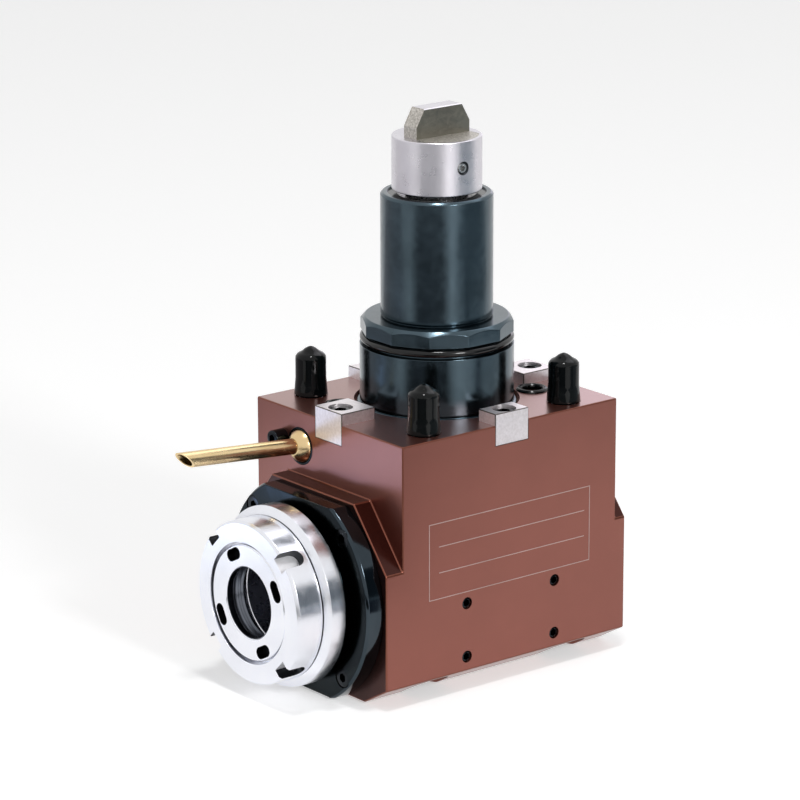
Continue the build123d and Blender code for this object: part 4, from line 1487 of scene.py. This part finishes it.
@dataclass
class RearCover:
    """Disc let into the rear boss, with its four screws."""

    radius: float = 0.030
    front: float = 0.0476
    back: float = 0.0536
    chamfer: float = 0.0005
    spigot: float = 0.021
    spigot_end: float = 0.0450
    hollow: float = 0.016
    hollow_floor: float = 0.0491
    edge: float = 0.00015
    screw_circle: float = 0.0255

    def fixing(self) -> SunkScrews:
        """Place the four screws on the cover's face.

        Returns:
            The screws with their places.
        """
        corners = square(self.screw_circle * math.sqrt(0.5))
        places = [SPINDLE_FRAME @ upright(x, y, self.back) for x, y in corners]
        return SunkScrews("rear_disc_screws", places)

    def build(self) -> Piece:
        """Turn the cover and sink the screw wells.

        Returns:
            The cover.
        """
        radius, back, chamfer = self.radius, self.back, self.chamfer
        steps = [(self.hollow, self.hollow_floor), (self.hollow, self.spigot_end)]
        steps += [(self.spigot, self.spigot_end), (self.spigot, self.front), (radius, self.front)]
        steps += [(radius, back - chamfer), (radius - chamfer, back)]
        cover = settle(turn_solid("rear_disc", steps), SPINDLE_FRAME)
        return cut(round_edges(cover, self.edge), self.fixing().wells())

    def dress(self) -> None:
        """Build the cover with its screws and blacken them."""
        mount(self.build(), DARK_OXIDE_PAINTED_SHADE, Slot.BLACK, Body.HOLDER, "rear_cover")
        mount(self.fixing().screws(), SCREW_BLACK, Slot.SCREW, Body.HOLDER, "rear_cover_screws")


@dataclass
class Keys:
    """The four nickelled keys and their screws."""

    half_width: float = 0.0076
    top: float = 0.0042
    bottom: float = -0.0075
    side_inner: float = 0.0323
    end_inner: float = 0.0342
    side_screw: float = 0.037
    end_screw: float = 0.0435
    hole: float = 0.0027
    well_radius: float = 0.0044
    well_depth: float = 0.0052
    edge: float = 0.0003

    def spans(self, side_out: float, end_out: float) -> dict[str, tuple[Point2, Point2]]:
        """List each key's lower and upper corner as seen from above.

        Args:
            side_out: How far out the keys at the sides reach.
            end_out: How far out the keys at the ends reach.

        Returns:
            The two corners by the key's place.
        """
        half, side, end = self.half_width, self.side_inner, self.end_inner
        return {
            "right": ((side, -half), (side_out, half)),
            "left": ((-side_out, -half), (-side, half)),
            "back": ((-half, end), (half, end_out)),
            "front": ((-half, -end_out), (half, -end)),
        }

    def spots(self) -> dict[str, Point2]:
        """Give the place of each key's screw."""
        side, end = self.side_screw, self.end_screw
        return {"right": (side, 0), "left": (-side, 0), "back": (0, end), "front": (0, -end)}

    def key(self, name: str, low: Point2, high: Point2, screw: Point2) -> Piece:
        """Shape one key with a counterbore for its screw.

        Args:
            name: The key's name.
            low: Its lower corner in X and Y.
            high: Its upper corner in X and Y.
            screw: Where its screw stands.

        Returns:
            The key.
        """
        key = coat(block(name, (*low, self.bottom), (*high, self.top)), NICKEL, KEY_EDGE_PAINTED_SHADE)
        # The rounded edges take the painted shade that outlines the key
        round_edges(key, self.edge, 3, material=1)
        floor, well = self.top - self.well_depth, self.well_radius
        steps = [(self.hole, self.bottom - OVER), (self.hole, floor), (well, floor), (well, self.top + OVER)]
        return cut(key, settle(turn_solid("counterbore", steps, MIDDLE_STEPS), upright(*screw)))

    def screws(self) -> Piece:
        """Set the four screws into the keys.

        Returns:
            The four screws.
        """
        screw = SocketScrew(0.0025, 0.014, 0.0042, 0.0044, 0.004).build("key screw")
        places = [upright(x, y, self.top - self.well_depth) for x, y in self.spots().values()]
        return spread(screw, "key_bolts", places)

    def dress(self) -> None:
        """Build the keys with their screws and plate them."""
        for place, (low, high) in self.spans(BODY_HIGH.x, LAYOUT.block_half).items():
            key = self.key(f"{place}_key", low, high, self.spots()[place])
            mount(key, NICKEL, Slot.NICKEL, Body.HOLDER, f"key_{place}")
        mount(self.screws(), SCREW_BLACK, Slot.SCREW, Body.HOLDER, "key_screws")


@dataclass
class MountingBolts:
    """Four long bolts and the soft caps on their threads."""

    radius: float = 0.005
    tip: float = 0.0124
    head: float = 0.008
    head_chamfer: float = 0.0006
    head_under: float = -0.0765
    head_height: float = 0.010
    socket: float = 0.008
    pitch: float = 0.0015
    thread_start: float = -0.012
    thread_end: float = 0.0114
    thread_depth: float = 0.0009
    tip_radius: float = 0.0042
    cap_skirt: float = 0.0060
    cap_bore: float = 0.0051
    cap_wall: float = 0.00555
    cap_tip: tuple[Point2, ...] = (
        (0.0039, 0.0155), (0.0032, 0.0159), (0.0026, 0.0164), (0.0020, 0.0169), (0.0013, 0.0173),
        (0.0006, 0.0176), (0, 0.0177))

    def bolt(self) -> Piece:
        """Turn one bolt with its thread and sink its socket.

        Returns:
            The bolt upright on the origin.
        """
        radius, head, chamfer, under = self.radius, self.head, self.head_chamfer, self.head_under
        low, root = under - self.head_height, radius - self.thread_depth
        steps = [(head - chamfer, low), (head, low + chamfer), (head, under), (radius, under)]
        steps += [(radius, self.thread_start)]
        for i in range(int((self.thread_end - self.thread_start) / self.pitch)):
            start = self.thread_start + i * self.pitch
            steps += [(root, start + 0.4 * self.pitch), (radius, start + 0.9 * self.pitch)]
        bolt = turn_solid("bolt", [*steps, (self.tip_radius, self.tip)], MIDDLE_STEPS)
        return cut(bolt, hexagon_socket(self.socket, low - OVER, low + self.head_height * 0.5))

    def cap(self, name: str) -> Piece:
        """Turn one soft cap: a flared skirt, a straight body and a blunt point.

        Args:
            name: The cap's name.

        Returns:
            The cap upright on the origin.
        """
        wall, skirt, bore = self.cap_wall, self.cap_skirt, self.cap_bore
        over = self.tip + 0.0002
        profile = [(0, over), (bore, over), (bore, 0.0001), (skirt - 0.0002, 0.0001), (skirt, 0.0004)]
        profile += [(skirt, 0.0012), (wall + 0.0002, 0.0040), (wall, 0.0066), (wall, 0.0134)]
        profile += [(wall - 0.0001, 0.0141), (wall - 0.0005, 0.0147), (wall - 0.0010, 0.0152)]
        return turn(name, [*profile, *self.cap_tip], MIDDLE_STEPS)

    def dress(self) -> None:
        """Build the bolts with their caps and give them their finishes."""
        bolts = spread(self.bolt(), "long_bolts", LAYOUT.bolts())
        mount(bolts, SCREW_BLACK, Slot.SCREW, Body.HOLDER, "mounting_bolts")
        pattern = self.cap("cap pattern")
        for number, place in enumerate(LAYOUT.bolts(), start=1):
            cap = copy_at(pattern, f"vinyl_cap_{number}", place)
            mount(cap, VINYL, Slot.VINYL, Body(f"cap_{number}"), f"thread_cap_{number}")
        bpy.data.objects.remove(pattern)


@dataclass
class Nozzle:
    """Swivel ball, its ring and the obliquely cut spray tube."""

    ball_y: float = -0.0468
    ball_radius: float = 0.0063
    ball_rows: int = 24
    ball_edge: float = 0.0001
    tube_radius: float = 0.00285
    tube_bore: float = 0.0022
    tube_start: float = 0.0020
    tube_length: float = 0.0513
    tube_edge: float = 0.00008
    tube_play: float = 0.00004
    slant: float = math.radians(45)
    tilt_axis: Point2 = (0.894, 0.447)
    lean: float = math.radians(4.6)
    ring_radius: float = 0.00685
    ring_back: float = -0.0016
    ring_front: float = 0.00015
    ring_play: float = 0.0003
    ring_edge: float = 0.00004
    rim_radius: float = 0.00603

    def frame(self) -> Matrix:
        """Place the ball's centre with +Z along the tube and +Y upwards.

        Returns:
            The placement.
        """
        (x, z), (across, up), rise = LAYOUT.nozzle, self.tilt_axis, math.sin(self.lean)
        direction = (-up * rise, -math.cos(self.lean), across * rise)
        return placement((x, self.ball_y, z), (across, 0, up), direction)

    def ball(self) -> Piece:
        """Turn the ball with the tube's bore through it.

        Returns:
            The ball.
        """
        start = math.asin((self.tube_radius + self.tube_play) / self.ball_radius)
        profile = []
        for i in range(self.ball_rows + 1):
            angle = start + (math.pi - 2 * start) * i / self.ball_rows
            profile.append((self.ball_radius * math.sin(angle), self.ball_radius * math.cos(angle)))
        ball = turn("swivel_ball", profile, FINE_STEPS)
        return settle(round_edges(ball, self.ball_edge), self.frame())

    def tube(self) -> Piece:
        """Turn the tube and cut its end at a slant, longest at the top.

        Returns:
            The tube.
        """
        outer, bore, end = self.tube_radius, self.tube_bore, self.tube_length + self.tube_radius
        profile = [(bore, self.tube_start), (outer, self.tube_start), (outer, end), (bore, end)]
        tube = turn("spray_tube", profile, FINE_STEPS)
        beyond = block("slant", (-0.02, -0.03, 0), (0.02, 0.03, 0.02))
        settle(beyond, upright(0, 0, self.tube_length) @ Matrix.Rotation(self.slant, 4, "X"))
        return settle(round_edges(cut(tube, beyond), self.tube_edge), self.frame())

    def ring(self) -> Piece:
        """Turn the ring that keeps the ball in its socket.

        Returns:
            The ring.
        """
        out, rim, back, front = self.ring_radius, self.rim_radius, self.ring_back, self.ring_front
        inner = self.ball_radius + self.ring_play
        profile = [(inner, back), (out, back), (out, front), (rim + 0.0001, front)]
        ring = round_edges(turn("ball_ring", [*profile, (rim, 0)], FINE_STEPS), self.ring_edge)
        return settle(ring, LAYOUT.nozzle_face())

    def plug(self) -> Piece:
        """Make the black screw that closes the spare outlet."""
        screw = SocketScrew(0.002, 0.008, 0.0031, 0.005, 0.003).build("outlet_plug")
        return settle(screw, LAYOUT.plug_face())

    def dress(self) -> None:
        """Build the nozzle's pieces and give them their finishes."""
        mount(self.ball(), NOZZLE_BRASS, Slot.BRASS, Body.BALL, "nozzle_ball")
        mount(self.tube(), NOZZLE_BRASS, Slot.BRASS, Body.TUBE, "nozzle_tube")
        mount(self.ring(), DARK_OXIDE_PAINTED_SHADE, Slot.BLACK, Body.HOLDER, "nozzle_seat_ring")
        mount(self.plug(), SCREW_BLACK, Slot.SCREW, Body.HOLDER, "coolant_plug_screw")


@dataclass
class SmallParts:
    """Seals round the coolant ports and set screws in the right side."""

    seal_radius: float = 0.00475
    seal_height: float = -0.0001
    seal_wire: float = 0.0011
    screw_radius: float = 0.0022
    screw_length: float = 0.006
    recess: float = 0.0004
    socket: float = 0.0025

    def seals(self) -> Piece:
        """Turn a seal and copy it to both ports.

        Returns:
            The two seals.
        """
        middle = (self.seal_radius, self.seal_height)
        seal = turn_ring("port seal", middle, self.seal_wire, 12, MIDDLE_STEPS)
        return spread(seal, "port_seals", LAYOUT.ports())

    def set_screws(self) -> Piece:
        """Turn a domed set screw and copy it to the four holes.

        Returns:
            The four screws.
        """
        radius, length = self.screw_radius, self.screw_length
        steps = [(radius, -length), (radius, -0.0006), (radius - 0.0003, -0.0002), (radius - 0.0008, 0)]
        screw = turn_solid("side screw", steps, SMALL_STEPS)
        cut(screw, hexagon_socket(self.socket, -length * 0.5, OVER))
        sunk = upright(0, 0, -self.recess)
        return spread(screw, "side_screws", [place @ sunk for place in LAYOUT.set_screws()])

    def dress(self) -> None:
        """Build the small parts and give them their finishes."""
        mount(self.seals(), RUBBER, Slot.RUBBER, Body.HOLDER, "port_o_rings")
        mount(self.set_screws(), SCREW_BLACK, Slot.SCREW, Body.HOLDER, "side_set_screws")


@dataclass
class InnerWorks:
    """Nodes inside the holder, which keep their own mesh: hard steel, unless a group says otherwise."""

    groups: tuple[tuple[Finish, tuple[str, ...]], ...] = (
        (BLACK_STEEL, ("bearing_retainer",)),
        (RUBBER, ("shaft_seal", "front_seal")),
        (CAGE_BRASS, ("drive_ball_cages", "spindle_ball_cages")),
        (SCREW_BLACK, ("drive_gear_screw", "spindle_gear_nut", "spindle_lock_nut")),
    )

    def dress(self) -> None:
        """Give every node that still shows its finish."""
        finishes = {name: finish for finish, names in self.groups for name in names}
        for name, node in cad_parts.items():
            if not node.hide_render:
                coat(node, finishes.get(name, HARD_STEEL))
                log.info("%s keeps its mesh", name)


# Light, floor and view


@dataclass
class Card:
    """A board beside the object that its bright metal mirrors, and nothing else sees."""

    name: str
    centre: Point3
    along: Point3
    across: Point3
    tone: Colour

    def build(self) -> None:
        """Put the board in its place."""
        deselect_all()
        bpy.ops.mesh.primitive_plane_add(size=1)
        board = bpy.context.object
        board.name = self.name
        along, across = Vector(self.along), Vector(self.across)
        turned = Matrix((along, across, along.cross(across).normalized())).transposed().to_4x4()
        settle(board, Matrix.Translation(self.centre) @ turned)
        board.visible_camera = False
        board.visible_diffuse = False
        board.visible_shadow = False
        board.visible_transmission = False
        material = bpy.data.materials.new(self.name)
        material.use_nodes = True
        tree = material.node_tree
        tree.nodes.clear()
        glow = tree.nodes.new("ShaderNodeEmission")
        glow.inputs["Color"].default_value = (*self.tone, 1)
        out = tree.nodes.new("ShaderNodeOutputMaterial")
        tree.links.new(glow.outputs["Emission"], out.inputs["Surface"])
        board.data.materials.append(material)


@dataclass
class Studio:
    """Pale floor, soft light, cards and the camera at the photograph's angle."""

    camera_azimuth: float = math.radians(50.75)
    camera_rise: float = math.radians(15.92)
    camera_distance: float = 1.43414
    focal_pixels: float = 4019.2
    picture: float = 800.0
    origin_pixel: Point2 = (436.83, 397.06)
    sensor: float = 36.0
    world_level: float = 0.32
    floor_tone: Colour = (0.80, 0.80, 0.80)
    floor_lift: float = 0.44
    cards: tuple[Card, ...] = (
        Card("card_front_near", (0.205, -0.265, -0.0925), (0.104, -0.134, 0), (0.33, 0.26, 0),
             (0.02, 0.022, 0.024)),
        Card("card_front_far", (0.419, -0.541, -0.0925), (0.324, -0.419, 0), (0.59, 0.46, 0),
             (0.20, 0.21, 0.23)),
        Card("card_right_floor", (0.614, 0.481, -0.0925), (0.574, 0.450, 0), (-0.49, 0.63, 0),
             (0.36, 0.42, 0.46)),
        Card("card_right_wall", (0.905, 0.710, 0.168), (-0.49, 0.63, 0), (0, 0, 0.52), (0.07, 0.09, 0.11)),
        Card("card_left_floor", (-0.430, -0.351, -0.0925), (-0.388, -0.316, 0), (-0.379, 0.465, 0),
             (0.50, 0.48, 0.50)),
        Card("card_left_glow", (-0.190, -0.238, -0.0922), (-0.046, -0.038, 0), (-0.044, 0.054, 0),
             (3.6, 4.6, 6.8)),
        Card("card_nose_floor", (0.308, 0.116, -0.0924), (0.291, 0.228, 0), (-0.037, 0.047, 0),
             (0.08, 0.10, 0.14)),
        Card("card_back", (-0.335, 0.457, 0.167), (0.114, 0.139, 0), (0, 0, 0.16), (1.7, 1.6, 1.8)),
        Card("card_high", (-0.064, 0.40, 0.62), (0.50, 0, 0), (0, 0.32, -0.25), (2.2, 2.2, 2.3)),
    )
    lamps: tuple[tuple[str, Point3, float, float], ...] = (
        ("right lamp", (1.6, -0.1, 0.7), 0.35, 14),
        ("top lamp", (0.3, -0.2, 1.8), 0.24, 10),
    )

    def camera(self) -> None:
        """Set the camera where the photograph was taken from."""
        cos_rise = math.cos(self.camera_rise)
        azimuth = self.camera_azimuth
        level = Vector((math.sin(azimuth) * cos_rise, -math.cos(azimuth) * cos_rise, 0))
        back = level + Vector((0, 0, math.sin(self.camera_rise)))
        data = bpy.data.cameras.new("camera")
        data.sensor_width = self.sensor
        data.lens = self.focal_pixels / self.picture * self.sensor
        data.shift_x = (self.picture / 2 - self.origin_pixel[0]) / self.picture
        data.shift_y = (self.origin_pixel[1] - self.picture / 2) / self.picture
        camera = bpy.data.objects.new("camera", data)
        bpy.context.scene.collection.objects.link(camera)
        camera.location = back * self.camera_distance
        camera.rotation_mode = "QUATERNION"
        camera.rotation_quaternion = (-back).to_track_quat("-Z", "Y")
        bpy.context.scene.camera = camera

    def seen(self, tree: bpy.types.NodeTree) -> Socket:
        """Tell the rays that see the background from those that light the object.

        Args:
            tree: The tree that the nodes go into.

        Returns:
            A value of one for the camera's rays and for those that metal mirrors or glass lets through.
        """
        path = tree.nodes.new("ShaderNodeLightPath")
        share = path.outputs["Is Camera Ray"]
        for kind in ("Is Glossy Ray", "Is Transmission Ray"):
            either = tree.nodes.new("ShaderNodeMath")
            either.operation = "MAXIMUM"
            tree.links.new(share, either.inputs[0])
            tree.links.new(path.outputs[kind], either.inputs[1])
            share = either.outputs["Value"]
        return share

    def world(self) -> None:
        """Light the object softly from all round in front of a white background."""
        world = bpy.data.worlds.new("studio")
        bpy.context.scene.world = world
        world.use_nodes = True
        tree = world.node_tree
        background = tree.nodes["Background"]
        level = tree.nodes.new("ShaderNodeMapRange")
        level.inputs["To Min"].default_value = self.world_level
        level.inputs["To Max"].default_value = 1.0
        tree.links.new(self.seen(tree), level.inputs["Value"])
        tree.links.new(level.outputs["Result"], background.inputs["Strength"])
        background.inputs["Color"].default_value = WHITE

    def lamp(self, name: str, place: Point3, size: float, power: float) -> None:
        """Hang one soft lamp that looks at the object.

        Args:
            name: The lamp's name.
            place: Where it hangs.
            size: The width of its face.
            power: Its power in watts.
        """
        data = bpy.data.lights.new(name, "AREA")
        data.size = size
        data.energy = power
        lamp = bpy.data.objects.new(name, data)
        bpy.context.scene.collection.objects.link(lamp)
        lamp.location = place
        lamp.rotation_mode = "QUATERNION"
        lamp.rotation_quaternion = (-Vector(place)).to_track_quat("-Z", "Y")

    def floor(self) -> None:
        """Lay the pale floor under the housing, shown white except for the shadow."""
        deselect_all()
        bpy.ops.mesh.primitive_plane_add(size=12, location=(0, 0, BODY_LOW.z - 0.0005))
        floor = bpy.context.object
        floor.name = "floor"
        material = bpy.data.materials.new("floor")
        material.use_nodes = True
        tree = material.node_tree
        shader = tree.nodes["Principled BSDF"]
        shader.inputs["Base Color"].default_value = (*self.floor_tone, 1)
        shader.inputs["Roughness"].default_value = 0.6
        shader.inputs["Specular IOR Level"].default_value = 0.2
        lift = tree.nodes.new("ShaderNodeMath")
        lift.operation = "MULTIPLY"
        lift.inputs[1].default_value = self.floor_lift
        tree.links.new(self.seen(tree), lift.inputs[0])
        tree.links.new(lift.outputs["Value"], shader.inputs["Emission Strength"])
        shader.inputs["Emission Color"].default_value = WHITE
        floor.data.materials.append(material)

    def build(self) -> None:
        """Set up the whole studio."""
        self.camera()
        self.world()
        self.floor()
        for name, place, size, power in self.lamps:
            self.lamp(name, place, size, power)
        for card in self.cards:
            card.build()
        bpy.context.scene.view_settings.view_transform = "Standard"


def main() -> None:
    """Build the holder's pieces in order, then the studio."""
    logging.basicConfig(level=logging.INFO, format="%(name)s: %(message)s")
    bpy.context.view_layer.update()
    parts = [Housing(), DataFrame(), ShankSleeve(), DriveEnd(), FrontCap(), SpindleNose(), ColletNut(),
             RearCover(), Keys(), MountingBolts(), Nozzle(), SmallParts(), InnerWorks()]
    for part in parts:
        log.info("building %s", type(part).__name__)
        part.dress()
    Studio().build()


if __name__ == "__main__":
    main()
